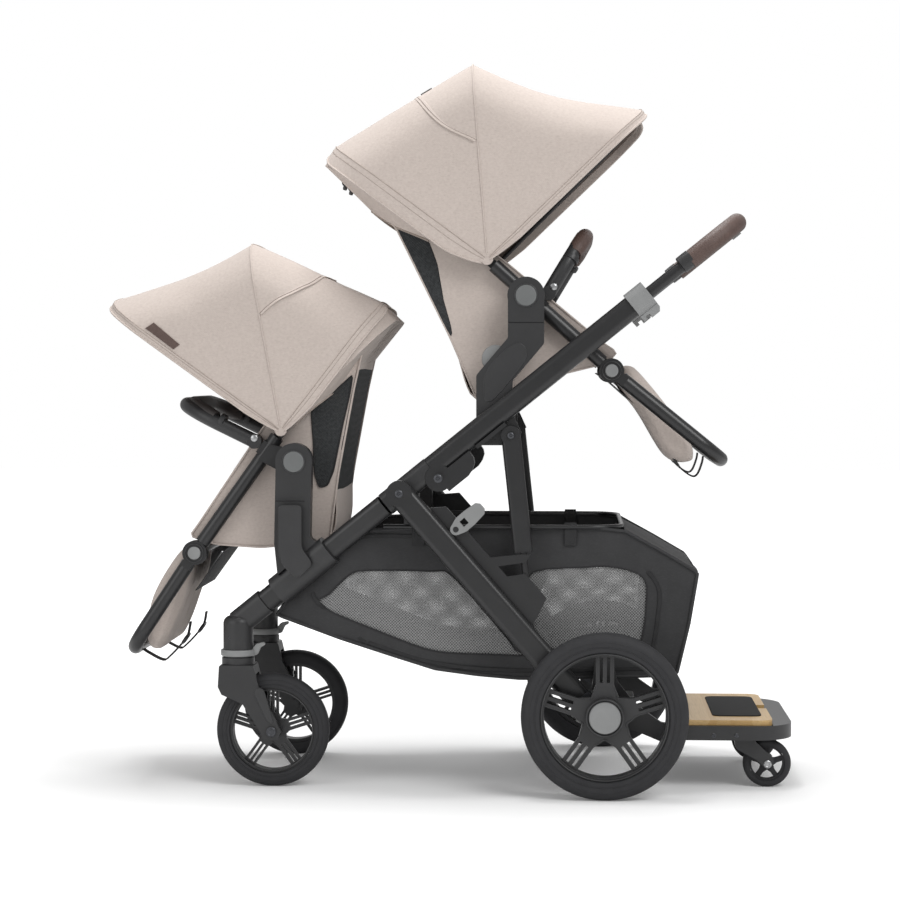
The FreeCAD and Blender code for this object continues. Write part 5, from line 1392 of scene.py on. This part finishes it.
    def harness(self) -> None:
        """Shoulder straps with pads, lap straps, crotch strap and buckle."""
        name = self.seat.name
        up_line = spaced(rounded([spot(x, z) for x, z in self.rest], 5), 40)
        inward = self.middle() - up_line[20]
        inward.y = 0
        inward.normalize()
        base = spaced(rounded([spot(x, z) for x, z in self.floor], 5), 20)
        buckle = base[9] + Vector((0, 0, 62 * MM))
        pad_section = [(-21, -3), (0, -4.2), (21, -3), (23, 0), (21, 3.4), (0, 4.6), (-21, 3.4), (-23, 0)]
        for side in Side:
            shoulder = up_line[24] + inward * (19 * MM) + side.out * (52 * MM)
            chest = up_line[12] + inward * (46 * MM) + side.out * (40 * MM)
            route = [shoulder - inward * (12 * MM), shoulder + inward * (6 * MM), chest,
                     buckle + Vector((0, side.value * 17 * MM, 8 * MM))]
            path = spaced(rounded(route, 8), 30)
            build(f"{name}_shoulder_strap_{side.word}", strap(path, inward, 24, 1.8), self.finishes.webbing,
                  self.body, "fabric")
            build(f"{name}_shoulder_pad_{side.word}", swept(path[3:19], [inward] * 16, pad_section),
                  self.finishes.mesh, self.body, "fabric", bevel=1.5, sharp=80)
            route = [base[12] + Vector((0, side.value * 138 * MM, 40 * MM)),
                     base[10] + Vector((0, side.value * 92 * MM, 62 * MM)), buckle + side.out * (20 * MM)]
            lap = strap(spaced(rounded(route, 8), 20), Vector((self.seat.facing * 0.7, 0, 0.7)), 24, 1.8)
            build(f"{name}_lap_strap_{side.word}", lap, self.finishes.webbing, self.body, "fabric")
        route = [base[4] + Vector((0, 0, 12 * MM)), base[5] + Vector((0, 0, 34 * MM)),
                 buckle - Vector((0, 0, 10 * MM))]
        crotch = strap(spaced(rounded(route, 8), 16), Vector((self.seat.facing, 0, 0)), 30, 2.4)
        build(f"{name}_crotch_strap", crotch, self.finishes.webbing, self.body, "fabric")
        ahead = Vector((self.seat.facing, 0, 0.35)).normalized()
        shell = [(0, -6), (17, -6), (21, -3), (22, 2), (19, 6), (12, 7.4), (10, 6.6), (0, 6.6)]
        build(f"{name}_buckle", turned(shell, buckle, ahead, 36), self.finishes.plastic, self.body,
              "dark_plastic")
        button = [(0, 6), (8.4, 6), (8.8, 8.4), (7.4, 9.2), (0, 9.4)]
        build(f"{name}_buckle_button", turned(button, buckle, ahead, 28), self.finishes.grey, self.body,
              "grey_plastic")

    def calf_pad(self) -> None:
        """The stuffed leg flap, sewn in channels, in the form of its CAD solid."""
        knee_u, knee_w = self.seat.knee
        outline = [self.seat.point(knee_u + u, knee_w + w) for u, w in self.calf]
        ring = spaced(rounded(outline, 5, closed=True) + [outline[0]], 45)[:-1]
        middle = sum(ring, Vector()) / len(ring)
        half, count = 147.0, 33
        verts = []
        for k in range(count):
            across = mix(-1, 1, k / (count - 1))
            full = 0.96 - 0.26 * abs(across) ** 7
            verts += [middle + (point - middle) * full + Vector((0, across * half * MM, 0)) for point in ring]
        pad = build(f"{self.seat.name}_calf_cushion", (verts, tube_faces(count, len(ring))),
                    self.finishes.cloth,
                    None, "fabric", sharp=80)
        self.padding.add(pad, 5.0)
        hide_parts(f"{self.seat.name}_calf_pad")
        self.pads.append((pad, 74.0, f"{self.seat.name}_leg_rest"))

    def under_flap(self) -> None:
        """The dark cloth that joins the seat's underside to the back of the leg pad."""
        line = spaced([spot(x, z) for x, z in self.under], 16)
        rows = [[point + Vector((0, mix(-118, 118, k / 16) * MM, 0)) for k in range(17)] for point in line]
        knee_u, knee_w = self.seat.knee
        bend = Blend(self.body, f"{self.seat.name}_leg_rest", self.seat.point(knee_u - 25, knee_w + 5),
                     self.seat.point(knee_u + 30, knee_w - 40))
        piece = build(f"{self.seat.name}_under_flap", closed_sheet(rows, 1.4, self.seat.point(knee_u,
                                                                                              knee_w)),
                      self.finishes.webbing, bend, "fabric", sharp=60)

    def foot_strap_piece(self) -> None:
        """The two straps round the foot of the leg pad, each with its buckle."""
        rider = f"{self.seat.name}_leg_rest"
        path = spaced(rounded([spot(x, z) for x, z in self.foot_strap], 8), 40)
        across = []
        for index in range(len(path)):
            along = (path[min(index + 1, 39)] - path[max(index - 1, 0)]).normalized()
            across.append(Vector((-along.z, 0, along.x)))
        for side in Side:
            moved = [point + side.out * (96 * MM) for point in path]
            build(f"{self.seat.name}_foot_strap_{side.word}", strap(moved, across, 18, 3.0),
                  self.finishes.webbing,
                  rider, "fabric")
            at = moved[30]
            ring = [at + across[30] * (a * MM) + (moved[31] - moved[29]).normalized() * (b * MM)
                    + Vector((0, c * MM, 0)) for a, b, c in ((0, -8, -14), (0, -8, 14), (0, 8, 14), (0, 8,
                                                                                                     -14))]
            loop = rounded(ring, 6, closed=True)
            build(f"{self.seat.name}_foot_buckle_{side.word}", swept(loop, [across[30]] * len(loop),
                                                                     circle_section(2.4, 8), closed=True),
                  self.finishes.plastic, rider, "dark_plastic")

    def bumper_line(self, ahead: Vector) -> list[Vector]:
        """The middle line of the bumper, from its left root forwards, across and back to its right one."""
        root_u, root_w, reach, _ = self.bumper
        half, bend = 169.0, 81.0
        root = self.seat.point(root_u, root_w)
        leg, arc = reach - bend, bend * math.pi / 2
        line = []
        for k in range(61):
            share = k / 60
            side = -1 if share < 0.5 else 1
            run = min(share, 1 - share) * 2 * (leg + arc + (half - bend))
            if run < leg:
                y, r = half, run
            elif run < leg + arc:
                turn = (run - leg) / bend
                y, r = half - bend * (1 - math.cos(turn)), leg + bend * math.sin(turn)
            else:
                y, r = half - bend - (run - leg - arc), reach
            line.append(root + ahead * (r * MM) + Vector((0, side * y * MM, 0)))
        return line

    def bumper_sleeve(self) -> None:
        """The stitched sleeve over the bumper, its end collars and the root buttons."""
        name, radius = self.seat.name, 13.0
        turn = math.radians(self.bumper[3])
        ahead = Vector((self.seat.facing * math.sin(turn), 0, math.cos(turn)))
        path = spaced(self.bumper_line(ahead), 121)
        start = self.sleeve_start
        sleeve = path[start:121 - start]
        last = len(sleeve) - 1
        fat = [mix(radius + 0.4, radius + 1.9, smooth_step(0, 4, k) * smooth_step(0, 4, last - k))
               for k in range(last + 1)]
        up = Vector((0, 1, 0)).cross(ahead)
        rider = f"{name}_bumper"
        cover = swept(sleeve, [up] * len(sleeve), circle_section(1.0, 20), growth=fat)
        build(f"{name}_bumper_sleeve", cover, self.bumper_finish, rider, "leather", sharp=60)
        inner = [point - up.normalized() * (size * MM) for point, size in zip(sleeve, fat)]
        build(f"{name}_bumper_seam", tube(inner, 0.9, 8), self.finishes.thread, rider, "leather")
        for number, at in enumerate((start - 3, 120 - start + 3)):
            axis = (path[at + 1] - path[at - 1]).normalized()
            build(f"{name}_bumper_collar_{number}",
                  turned([(13.2, -5), (14.6, -4.4), (14.9, 0), (14.6, 4.4), (13.2, 5)], path[at], axis, 32),
                  self.finishes.plastic, rider, "dark_plastic")
        for side in Side:
            centre = path[3 if side is Side.LEFT else 117] + side.out * (12.5 * MM)
            build(f"{name}_bumper_button_{side.word}",
                  turned([(0, -1), (6.5, -1), (6.5, 1.4), (5.4, 2.4), (0, 2.6)], centre, side.out,
                         24), self.finishes.steel, rider, "steel")

    def knees(self) -> None:
        """Grey caps on the knee discs, each with a ring round it."""
        for side in Side:
            centre = self.seat.point(*self.seat.knee, side.value * 186.4)
            build(f"{self.seat.name}_knee_cap_{side.word}",
                  turned([(0, -1), (11.4, -1), (11.6, 1.0), (10.2, 2.0), (9.2, 1.7), (0, 2.1)], centre,
                         side.out, 36), self.finishes.grey, f"{self.seat.name}_leg_rest",
                  "grey_plastic")
            ring = circle(centre + side.out * (0.5 * MM), 16.5, 48)
            build(f"{self.seat.name}_knee_ring_{side.word}", tube(ring, 0.8, 8, closed=True),
                  self.finishes.plastic_face, f"{self.seat.name}_leg_rest", "dark_plastic")

    def make(self) -> None:
        """Builds the seat's pieces, up to the pads' simulation."""
        for side in Side:
            self.side_cloth(side)
        self.back_cloth()
        self.liner()
        self.harness()
        self.calf_pad()
        self.under_flap()
        self.foot_strap_piece()
        self.bumper_sleeve()
        self.knees()

    def finish(self) -> None:
        """Attaches the pads once they are blown up, and sews their channels."""
        for pad, spacing, rider in self.pads:
            self.channels(pad, spacing)
            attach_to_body(pad, rider)
        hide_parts(f"{self.seat.name}_seat_shell")

    def channels(self, pad: Piece, spacing: float) -> None:
        """Draws a pad in along sewn lines that run from front to back."""
        for vert in pad.data.vertices:
            y = vert.co.y / MM
            near = abs((y + spacing / 2) % spacing - spacing / 2) if abs(y) < 110 else 99.0
            if near < 7 and abs(vert.normal.y) < 0.8:
                vert.co -= vert.normal * (2.4 * math.exp(-(near / 2.6) ** 2) * MM)


@dataclass
class Basket:
    """The storage basket: cloth sides with net windows, floor, end walls, bindings and straps."""

    finishes: Finishes
    half: float = 211.0
    nose_half: float = 176.0
    nose_from: float = -588.0
    nose_to: float = -480.0
    side: list[Flat] = field(default_factory=lambda: [
        (-588, 308), (-540, 293), (-470, 270), (-380, 241), (-300, 216), (-225, 206), (-149, 200), (0, 203),
        (128, 207), (150, 300), (165, 390), (100, 428), (38, 462), (-8, 467), (-160, 468), (-308, 467),
        (-440, 462), (-471, 456), (-500, 428), (-545, 366)])
    front_window: list[Flat] = field(default_factory=lambda: [
        (-508, 328), (-490, 348), (-473, 366), (-450, 385), (-423, 391), (-305, 390), (-268, 380), (-173,
                                                                                                    272),
        (-160, 252), (-142, 241), (-200, 242), (-262, 244), (-315, 251), (-397, 281)])
    rear_window: list[Flat] = field(default_factory=lambda: [
        (-126, 390), (-40, 398), (17, 399), (70, 380), (74, 330), (70, 290), (60, 262), (20, 250), (-60, 246),
        (-108, 262), (-128, 300), (-133, 350)])

    def width_at(self, x: float) -> float:
        """Half the basket's width at a distance from the rear axle."""
        return mix(self.nose_half, self.half, min(max((x - self.nose_from) / (self.nose_to - self.nose_from),
                                                      0), 1))

    def laid(self, side: Side, out: float = 0.0) -> Callable[[float, float], Vector]:
        """How a cut of cloth lies on one side of the basket.

        Args:
            side: the side.
            out: how far outside the cloth it lies.

        Returns:
            A function from a point of the cut to the scene.
        """
        def place(x: float, z: float) -> Vector:
            """A point of the side, slack between its bound edges."""
            slack = noise.noise(Vector((x * 0.008, z * 0.012, side.value * 3.0))) * 3.2
            slack += 2.0 * math.sin(math.pi * min(max((z - 200) / 268, 0), 1))
            return spot(x, z, side.value * (self.width_at(x) - 1.5 + slack + out))

        return place

    def sides(self) -> None:
        """Both sides with their windows, nets and bindings."""
        windows = {"front": self.front_window, "rear": self.rear_window}
        for side in Side:
            holes = [flat_rounded(outline, 3) for outline in windows.values()]
            wall = build(f"basket_side_{side.word}", cut_patch(self.side, self.laid(side), 1.8, holes,
                                                               step=17.0),
                         self.finishes.basket, "chassis", "basket_cloth", sharp=60)
            patch_sheet(self.side)
            for (word, _), hole in zip(windows.items(), holes):
                middle = (sum(x for x, _ in hole) / len(hole), sum(z for _, z in hole) / len(hole))
                wide = [(middle[0] + (x - middle[0]) * 1.015, middle[1] + (z - middle[1]) * 1.03) for x,
                        z in hole]
                net = build(f"basket_net_{word}_{side.word}",
                            cut_patch(wide, self.laid(side, -2.4), 0.7, step=17.0),
                            self.finishes.net, "chassis", "basket_cloth", sharp=60)
                patch_sheet(wide)
                place = self.laid(side, 0.3)
                line = spaced([place(x, z) for x, z in hole] + [place(*hole[0])], 100)[:-1]
                build(f"basket_net_{word}_edge_{side.word}", tube(line, 1.3, 8, closed=True),
                      self.finishes.webbing,
                      "chassis", "basket_cloth")
            place = self.laid(side, 0.9)
            edge = spaced([place(x, z) for x, z in self.side] + [place(*self.side[0])], 180)[:-1]
            build(f"basket_edge_{side.word}", tube(edge, 3.2, 10, closed=True), self.finishes.basket,
                  "chassis",
                  "basket_cloth")
            for number, line in enumerate((((77, 392), (97, 358), (93, 296), (81, 225)),
                                           ((-330, 452), (-420, 452), (-455, 440)),
                                           ((-420, 262), (-300, 226), (-149, 214), (110, 220)),
                                           ((-425, 262), (-508, 330), (-520, 350)))):
                points = rounded([self.laid(side, 1.0)(x, z) for x, z in line], 6)
                build(f"basket_seam_{number}_{side.word}",
                      strap(spaced(points, 26), side.out, 7.0, 1.4), self.finishes.webbing,
                      "chassis", "basket_cloth")

    def lofted(self, name: str, chain: Sequence[Flat], sag: float, inside: Vector) -> None:
        """A wall or floor that runs across the basket along a side-view line."""
        line = spaced(rounded([spot(x, z) for x, z in chain], 5), 30)
        rows = []
        for point in line:
            wide = self.width_at(point.x / MM - REAR_AXLE) - 1.0
            row = []
            for k in range(29):
                across = mix(-1, 1, k / 28)
                out = point - inside
                out.y = 0
                drop = sag * (1 - across ** 2) + noise.noise(Vector((point.x * 9, across * 2.2,
                                                                     point.z * 9))) * 2.2
                row.append(point + out.normalized() * (drop * MM) + Vector((0, across * wide * MM, 0)))
            rows.append(row)
        piece = build(name, closed_sheet(rows, 1.8, inside), self.finishes.basket, "chassis", "basket_cloth",
                      sharp=60)

    def make(self) -> None:
        """Builds the basket."""
        inside = spot(-180, 330)
        self.sides()
        self.lofted("basket_floor", [(-588, 308), (-540, 293), (-470, 270), (-380, 241), (-300, 216), (-149,
                                                                                                       200),
                                     (0, 203), (128, 207)], 1.0, inside)
        self.lofted("basket_rear_wall", [(128, 207), (150, 300), (165, 390)], 1.5, inside)
        self.lofted("basket_nose_wall", [(-588, 308), (-545, 366), (-500, 428), (-471, 456)], 1.5, inside)
        self.lofted("basket_rear_flap", [(165, 390), (100, 428), (38, 462)], -1.0, spot(60, 300))
        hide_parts("basket_fabric")
        for side in Side:
            for number, (x, z) in enumerate(((-330, 470), (-60, 471))):
                y = side.value * (self.width_at(x) + 2)
                loop = [spot(x, z - 34, y), spot(x, z - 4, y + side.value),
                        spot(x, z + 6, y - side.value * 3),
                        spot(x, z - 4, y - side.value * 9), spot(x, z - 30, y - side.value * 9)]
                build(f"basket_loop_{number}_{side.word}",
                      strap(spaced(rounded(loop, 5), 20), [Vector((0, side.value, 0.2))] * 20, 22, 1.8),
                      self.finishes.webbing, "chassis", "basket_cloth")


@dataclass
class Wheels:
    """Hub caps, rings, spoke rails and bolts on the wheels."""

    finishes: Finishes

    def cap(self, name: str, centre: Vector, side: Side, radius: float, rise: float, finish: Material,
            rider: str, slot: str) -> None:
        """A dished hub cap with a rolled rim."""
        profile = [(0, -1), (radius, -1), (radius + 0.6, rise * 0.5), (radius - 0.8, rise),
                   (radius - 2.2, rise - 0.2),
                   (radius - 3.2, rise - 1.0), (radius * 0.5, rise - 0.7), (0, rise - 0.6)]
        build(name, turned(profile, centre, side.out, 56), finish, rider, slot)

    def ring(self, name: str, centre: Vector, side: Side, radius: float, thick: float, finish: Material,
             rider: str, slot: str) -> None:
        """A round bead on a wheel's face."""
        line = circle(centre + side.out * (0.2 * MM), radius, 72)
        build(name, tube(line, thick, 8, closed=True), finish, rider, slot)

    def rails(self, name: str, centre: Vector, side: Side, half: float, inner: float, outer: float,
              rider: str) -> None:
        """Raised edges that run down one spoke, round by the hub and up the next."""
        for number in range(5):
            middle = math.radians(90 + 36 + 72 * number)
            first, last = math.radians(90 + 72 * number), math.radians(90 + 72 * (number + 1))
            points = []
            for turn, sign, reaches in ((first, 1, (outer, inner * 1.5, inner * 1.2)),
                                        (last, -1, (inner * 1.2, inner * 1.5, outer))):
                for reach in reaches:
                    wide = half * (1.25 if reach < inner * 1.3 else 1.0) * sign
                    points.append((math.cos(turn) * reach - math.sin(turn) * wide,
                                   math.sin(turn) * reach + math.cos(turn) * wide))
                if sign == 1:
                    points.append((math.cos(middle) * inner * 1.08, math.sin(middle) * inner * 1.08))
            line = rounded([centre + Vector((a * MM, 0, b * MM)) for a, b in points], 6)
            build(f"{name}_{number}_{side.word}", swept(line, [side.out] * len(line),
                                                        circle_section(1.0, 8)), self.finishes.plastic_face,
                  rider,
                  "dark_plastic")

    def make(self) -> None:
        """Builds the trim of all six wheels."""
        rear, front, board = (0, 146), (-594, 101.5), (293, 43)
        grey, face, rubber = self.finishes.grey, self.finishes.plastic_face, self.finishes.rubber
        caps = (
            ("rear_hub_cap", rear, 325.0, 27.0, 4.0, grey, "rear_wheel", "grey_plastic"),
            ("front_hub_cap", front, 201.0, 12.0, 2.6, face, "front_wheel", "dark_plastic"),
            ("front_axle_bolt", front, 217.0, 8.5, 2.4, self.finishes.dark_steel, "fork", "steel"),
            ("board_wheel_bolt", board, 170.0, 6.5, 2.0, self.finishes.steel, "board_swivel", "steel"))
        rings = (
            ("rear_hub_bead", rear, 325.0, 31.5, 1.4, face, "rear_wheel", "dark_plastic"),
            ("rear_rim_bead", rear, 320.5, 110.0, 1.6, face, "rear_wheel", "dark_plastic"),
            ("rear_tyre_bead_131", rear, 323.4, 131.0, 0.9, rubber, "rear_wheel", "tyre"),
            ("rear_tyre_bead_122", rear, 324.0, 122.0, 0.9, rubber, "rear_wheel", "tyre"),
            ("rear_tyre_bead_114", rear, 322.0, 113.6, 0.9, rubber, "rear_wheel", "tyre"),
            ("front_tyre_bead_91", front, 198.6, 91.0, 0.8, rubber, "front_wheel", "tyre"),
            ("front_tyre_bead_83", front, 199.0, 83.0, 0.8, rubber, "front_wheel", "tyre"),
            ("front_rim_bead", front, 196.8, 73.0, 1.3, face, "front_wheel", "dark_plastic"))
        for side in Side:
            word, sign = side.word, side.value
            for shape, pieces in ((self.cap, caps), (self.ring, rings)):
                for name, (x, z), y, radius, measure, finish, body, slot in pieces:
                    shape(f"{name}_{word}", spot(x, z, sign * y), side, radius, measure, finish,
                          f"{body}_{word}", slot)
            self.rails("rear_spoke_rail", spot(*rear, sign * 309.4), side, 15.2, 36.0, 104.0,
                       f"rear_wheel_{word}")
            self.rails("front_spoke_rail", spot(*front, sign * 187.9), side, 9.8, 20.0, 71.0,
                       f"front_wheel_{word}")


@dataclass
class Trim:
    """Screws, pins, panels, beads, rings and the grip pad on the frame, the adapters and the board."""

    finishes: Finishes
    upper_panel: list[Flat] = field(default_factory=lambda: [
        (-153, 798), (-139, 788), (-137, 770), (-152, 748), (-178, 716), (-200, 692), (-213, 694), (-214,
                                                                                                    732),
        (-205, 752), (-180, 782)])
    lower_panel: list[Flat] = field(default_factory=lambda: [
        (-577, 508), (-537, 508), (-537, 432), (-517, 404), (-545, 378), (-570, 402), (-578, 424)])
    fork_panel: list[Flat] = field(default_factory=lambda: [
        (-626, 172), (-620, 180), (-608, 178), (-598, 145), (-590, 118), (-596, 115), (-604, 124)])

    def screw(self, name: str, centre: Vector, axis: Vector, radius: float, rider: str) -> None:
        """A domed screw with a socket in its head."""
        profile = [(0, -1), (radius, -1), (radius, 0.4), (radius * 0.8, 1.5), (radius * 0.45, 1.8),
                   (radius * 0.4, 0.4), (0, 0.4)]
        build(name, turned(profile, centre, axis, 24), self.finishes.dark_steel, rider, "steel")

    def adapters(self) -> None:
        """Panels and seams on the adapters and forks, release discs, and the housings' rings and levers."""
        for side in Side:
            word, sign = side.word, side.value
            for name, outline, y, rider in (("upper_adapter_panel", self.upper_panel, 222.0, "chassis"),
                                            ("lower_adapter_panel", self.lower_panel, 236.8, "chassis"),
                                            ("fork_panel", self.fork_panel, 214.0, f"fork_{word}")):
                low, high = sorted((sign * (y - 1.0), sign * (y + 0.5)))
                edge = eased(outline, 8.0)
                build(f"{name}_{word}", plate(edge, low, high), self.finishes.plastic_face, rider,
                      "dark_plastic",
                      bevel=0.4)
                ring = spaced([spot(x, z, sign * (y + 0.1)) for x, z in edge + edge[:1]], 90)[:-1]
                build(f"{name}_bead_{word}", tube(ring, 0.9, 8, closed=True), self.finishes.plastic, rider,
                      "dark_plastic")
            for name, ends, y in (("upper_adapter_seam", ((-170, 832), (-108, 832)), 221.8),
                                  ("lower_adapter_seam", ((-583, 516), (-531, 516)), 236.6)):
                line = spaced([spot(x, z, sign * y) for x, z in ends], 8)
                build(f"{name}_{word}", tube(line, 0.9, 8), self.finishes.grip_sheet, "chassis",
                      "dark_plastic")
            build(f"housing_ring_{word}",
                  turned([(27.4, 0), (30.4, 0), (31.4, 1.5), (31.4, 9.5), (30.4, 11), (27.4, 11)],
                         spot(-657, 235, sign * 182.0), Vector((0, 0, 1)), 56), self.finishes.grey, "chassis",
                  "grey_plastic")
            build(f"housing_lever_{word}",
                  plate(eased([(-630, 236), (-622, 236), (-616, 250), (-608, 254), (-610, 259), (-624, 256),
                               (-632, 246)], 3.0), *sorted((sign * 176.0, sign * 190.0))), self.finishes.grey,
                  "chassis", "grey_plastic", bevel=1.0)
            build(f"upper_release_disc_{word}",
                  turned([(0, -3), (24, -3), (25, 0), (24, 3), (0, 3.4)], spot(-193, 768, sign * 204.0),
                         side.out, 48), self.finishes.grey, "chassis", "grey_plastic")
            for kind, x, z in (("upper", -139, 880), ("lower", -552, 585)):
                centre = spot(x, z, sign * 223.8)
                ring = circle(centre - side.out * (1.2 * MM), 20, 56)
                build(f"{kind}_button_bead_{word}", tube(ring, 1.0, 8, closed=True),
                      self.finishes.plastic_face,
                      "chassis", "dark_plastic")

    def frame_screws(self) -> None:
        """Screws and pins that show on the frame."""
        places = (
            ("leg_pin", -361, 531, 274.0, "rear_frame", 7.0), ("fold_pin", -292, 558, 274.0, "chassis", 7.5),
            ("brace_pin", -165, 633, 251.0, "handle_frame", 6.0), ("brace_foot", -136, 361, 246.0,
                                                                   "brace_pair", 6.5),
            ("housing_screw", -668, 268, 205.0, "chassis", 3.6), ("board_screw_a", 193, 104, 235.2, "board",
                                                                  4.0),
            ("board_screw_b", 233, 104, 235.2, "board", 4.0))
        for name, x, z, y, rider, radius in places:
            for side in Side:
                self.screw(f"{name}_{side.word}", spot(x, z, side.value * y), side.out, radius,
                           rider)

    def grip(self) -> None:
        """The collars at the ends of the handle's leather."""
        slope = Vector((math.cos(math.radians(38.8)), 0, math.sin(math.radians(38.8))))
        for side in Side:
            start = spot(143, 939, side.value * 240.0)
            build(f"grip_collar_{side.word}",
                  turned([(14.0, -14), (15.6, -13), (15.9, 0), (15.6, 9), (14.4, 10)], start, slope, 36),
                  self.finishes.plastic, "handle", "dark_plastic")

    def deck(self) -> None:
        """The rubber grip pad on the board's deck."""
        outline = eased([(197, -130), (286, -130), (286, 130), (197, 130)], 18.0)
        pad = prism([spot(x, 122.6, y) for x, y in outline], [spot(x, 124.8, y) for x, y in outline])
        build("deck_grip_pad", pad, self.finishes.grip_sheet, "board", "tyre", bevel=0.8)

    def make(self) -> None:
        """Builds the trim."""
        self.adapters()
        self.frame_screws()
        self.grip()
        self.deck()


def dress_nodes(finishes: Finishes) -> None:
    """Gives each rigid CAD node its finish, and softens the edges of the moulded ones."""
    by_finish = {
        "tube": ["front_tube", "front_crossbar", "upper_tube", "handle_bar", "rear_leg", "braces",
                 "seat_frame",
                 "leg_rest_frame", "basket_rim"],
        "plastic": ["joint_castings", "caster_housings", "lower_adapters", "upper_adapters", "board_arms",
                    "board_frame", "front_fork", "rear_rim", "front_rim", "board_caster", "canopy_bow",
                    "bumper_bar"],
        "grey": ["handle_button", "fold_collars", "storage_latch", "brake_pedal"],
        "dim_grey": ["hub_button"],
        "leather": ["handle_grip"],
        "rubber": ["tyre", "board_wheel"],
        "bamboo": ["board_deck"],
        "dark_steel": ["rear_axle"],
    }
    softened = ("castings", "housings", "adapters", "board_arms", "board_frame", "fork", "collars", "latch",
                "pedal",
                "board_deck", "board_caster")
    for name, node in frame["nodes"].items():
        for finish, words in by_finish.items():
            if any(word in name for word in words):
                node.data.materials.clear()
                node.data.materials.append(getattr(finishes, finish))
                break
        if any(word in name for word in softened):
            modify(node, "rounding", "BEVEL", width=1.2 * MM, segments=2, limit_method="ANGLE",
                   angle_limit=math.radians(50))


UPPER = SeatPlace("upper", -139, 880, 1, (-70, 66), (152, -133))
LOWER = SeatPlace("lower", -552, 585, -1, (26, 56), (184, -166))


def main() -> None:
    """Builds everything in order."""
    logging.basicConfig(level=logging.WARNING)
    for thing in list(bpy.data.objects):
        if thing.name in ("Cube", "Light", "Camera"):
            bpy.data.objects.remove(thing)
    Stage().make()
    finishes = Finishes()
    dress_nodes(finishes)
    canopies = (
        Canopy(UPPER, Bow(46.2, 389), Bow(-4.6, 358), Bow(-53.6, 348), 0.14, 0.085, 13.0, 32.0,
               [(-313, 978, -186), (-340, 990, -172), (-372, 1004, -158), (-405, 1024, -135),
                (-424, 1038, -70),
                (-426, 1040, 0)],
               [(0.202, 0.015), (0.27, 0.28), (0.36, 0.38), (0.5, 0.4)],
               [(Bow(-53.6, 348), 0.085, [(0.4, 0.28), (0.445, 0.28), (0.445, 0.36), (0.4, 0.36)], False)],
               [(-474, 1104, -60), (-474, 1104, 60)], Bow(-59.8, 347), finishes),
        Canopy(LOWER, Bow(54.2, 393), Bow(10.5, 344), Bow(-37.6, 288), 0.1, 0.09, 12.0, 18.0,
               [(-552, 651, -186), (-526, 676, -172), (-500, 697, -160), (-470, 722, -140), (-449, 748, -80),
                (-447, 752, 0)],
               [(0.214, 0.01), (0.258, 0.158), (0.313, 0.362), (0.367, 0.479), (0.5, 0.53)],
               [(Bow(54.2, 393), 0.1, [(0.269, 0.9), (0.211, 0.9), (0.204, 0.975), (0.26, 0.975)], True)],
               [(-411, 862, -60), (-411, 862, 60)], Bow(-45.6, 284), finishes),
    )
    for canopy in canopies:
        canopy.make()
    padding = Padding()
    seats = (
        SeatUnit(
            UPPER,
            outer=[(-226, 690), (-106, 734), (1, 760), (24, 779), (-2, 796), (-175, 940), (-423, 1125),
                   (-457, 1106),
                   (-373, 1002), (-276, 806)],
            back=[(-423, 1124), (-450, 1108), (-373, 1002), (-276, 806), (-228, 694), (-106, 736), (0, 762),
                  (22, 778)],
            back_mesh=(1006, 806),
            floor=[(0, 780), (-50, 766), (-106, 753), (-170, 730), (-205, 717)],
            rest=[(-214, 722), (-238, 770), (-262, 810), (-310, 900), (-358, 998), (-400, 1052),
                  (-430, 1088)],
            wedge=[(-371, 1003), (-315, 978), (-300, 937), (-289, 873), (-276, 828), (-273, 808),
                   (-280, 816)],
            calf=[(10.9, 7.2), (31, 13), (110, -82), (154, -158), (146, -173), (108, -161), (53, -72),
                  (10.9, -19)],
            under=[(-14, 742), (12, 724), (40, 699), (72, 672)],
            foot_strap=[(180, 592), (178, 580), (170, 560), (160, 556), (140, 570), (124, 592), (118, 606)],
            bumper=(42.0, 5.4, 122.0, 31.0),
            finishes=finishes, padding=padding, bumper_finish=finishes.leather),
        SeatUnit(
            LOWER,
            outer=[(-494, 439), (-618, 428), (-700, 433), (-749, 448), (-736, 464), (-604, 660), (-472, 828),
                   (-424, 830), (-450, 714), (-478, 562)],
            back=[(-470, 826), (-428, 828), (-450, 714), (-478, 562), (-494, 442), (-618, 430), (-700, 435),
                  (-745, 448)],
            back_mesh=(750, 535),
            floor=[(-735, 464), (-700, 455), (-650, 449), (-590, 452), (-530, 458)],
            rest=[(-512, 462), (-505, 500), (-496, 560), (-482, 640), (-468, 705), (-452, 780), (-444, 815)],
            wedge=[(-527, 675), (-523, 615), (-521, 560), (-513, 536), (-498, 540), (-487, 567), (-470, 652),
                   (-458, 703), (-452, 740), (-478, 716)],
            calf=[(13.2, 6), (28, 10), (84, -84), (100, -172.8), (94, -189.6), (70, -181.2), (24, -60),
                  (13.2, -16)],
            under=[(-676, 430), (-690, 420), (-716, 384), (-744, 345)],
            foot_strap=[(-850, 240), (-836, 230), (-808, 216), (-796, 222), (-774, 245), (-762, 262),
                        (-757, 286)],
            bumper=(62.5, 34.8, 150.0, 64.0),
            # The lower bumper's leather is darkened as painted shade.
            finishes=finishes, padding=padding, bumper_finish=finishes.dark_leather),
    )
    for seat in seats:
        seat.make()
    padding.run()
    for seat in seats:
        seat.finish()
    Basket(finishes).make()
    Wheels(finishes).make()
    Trim(finishes).make()


if __name__ == "__main__":
    main()
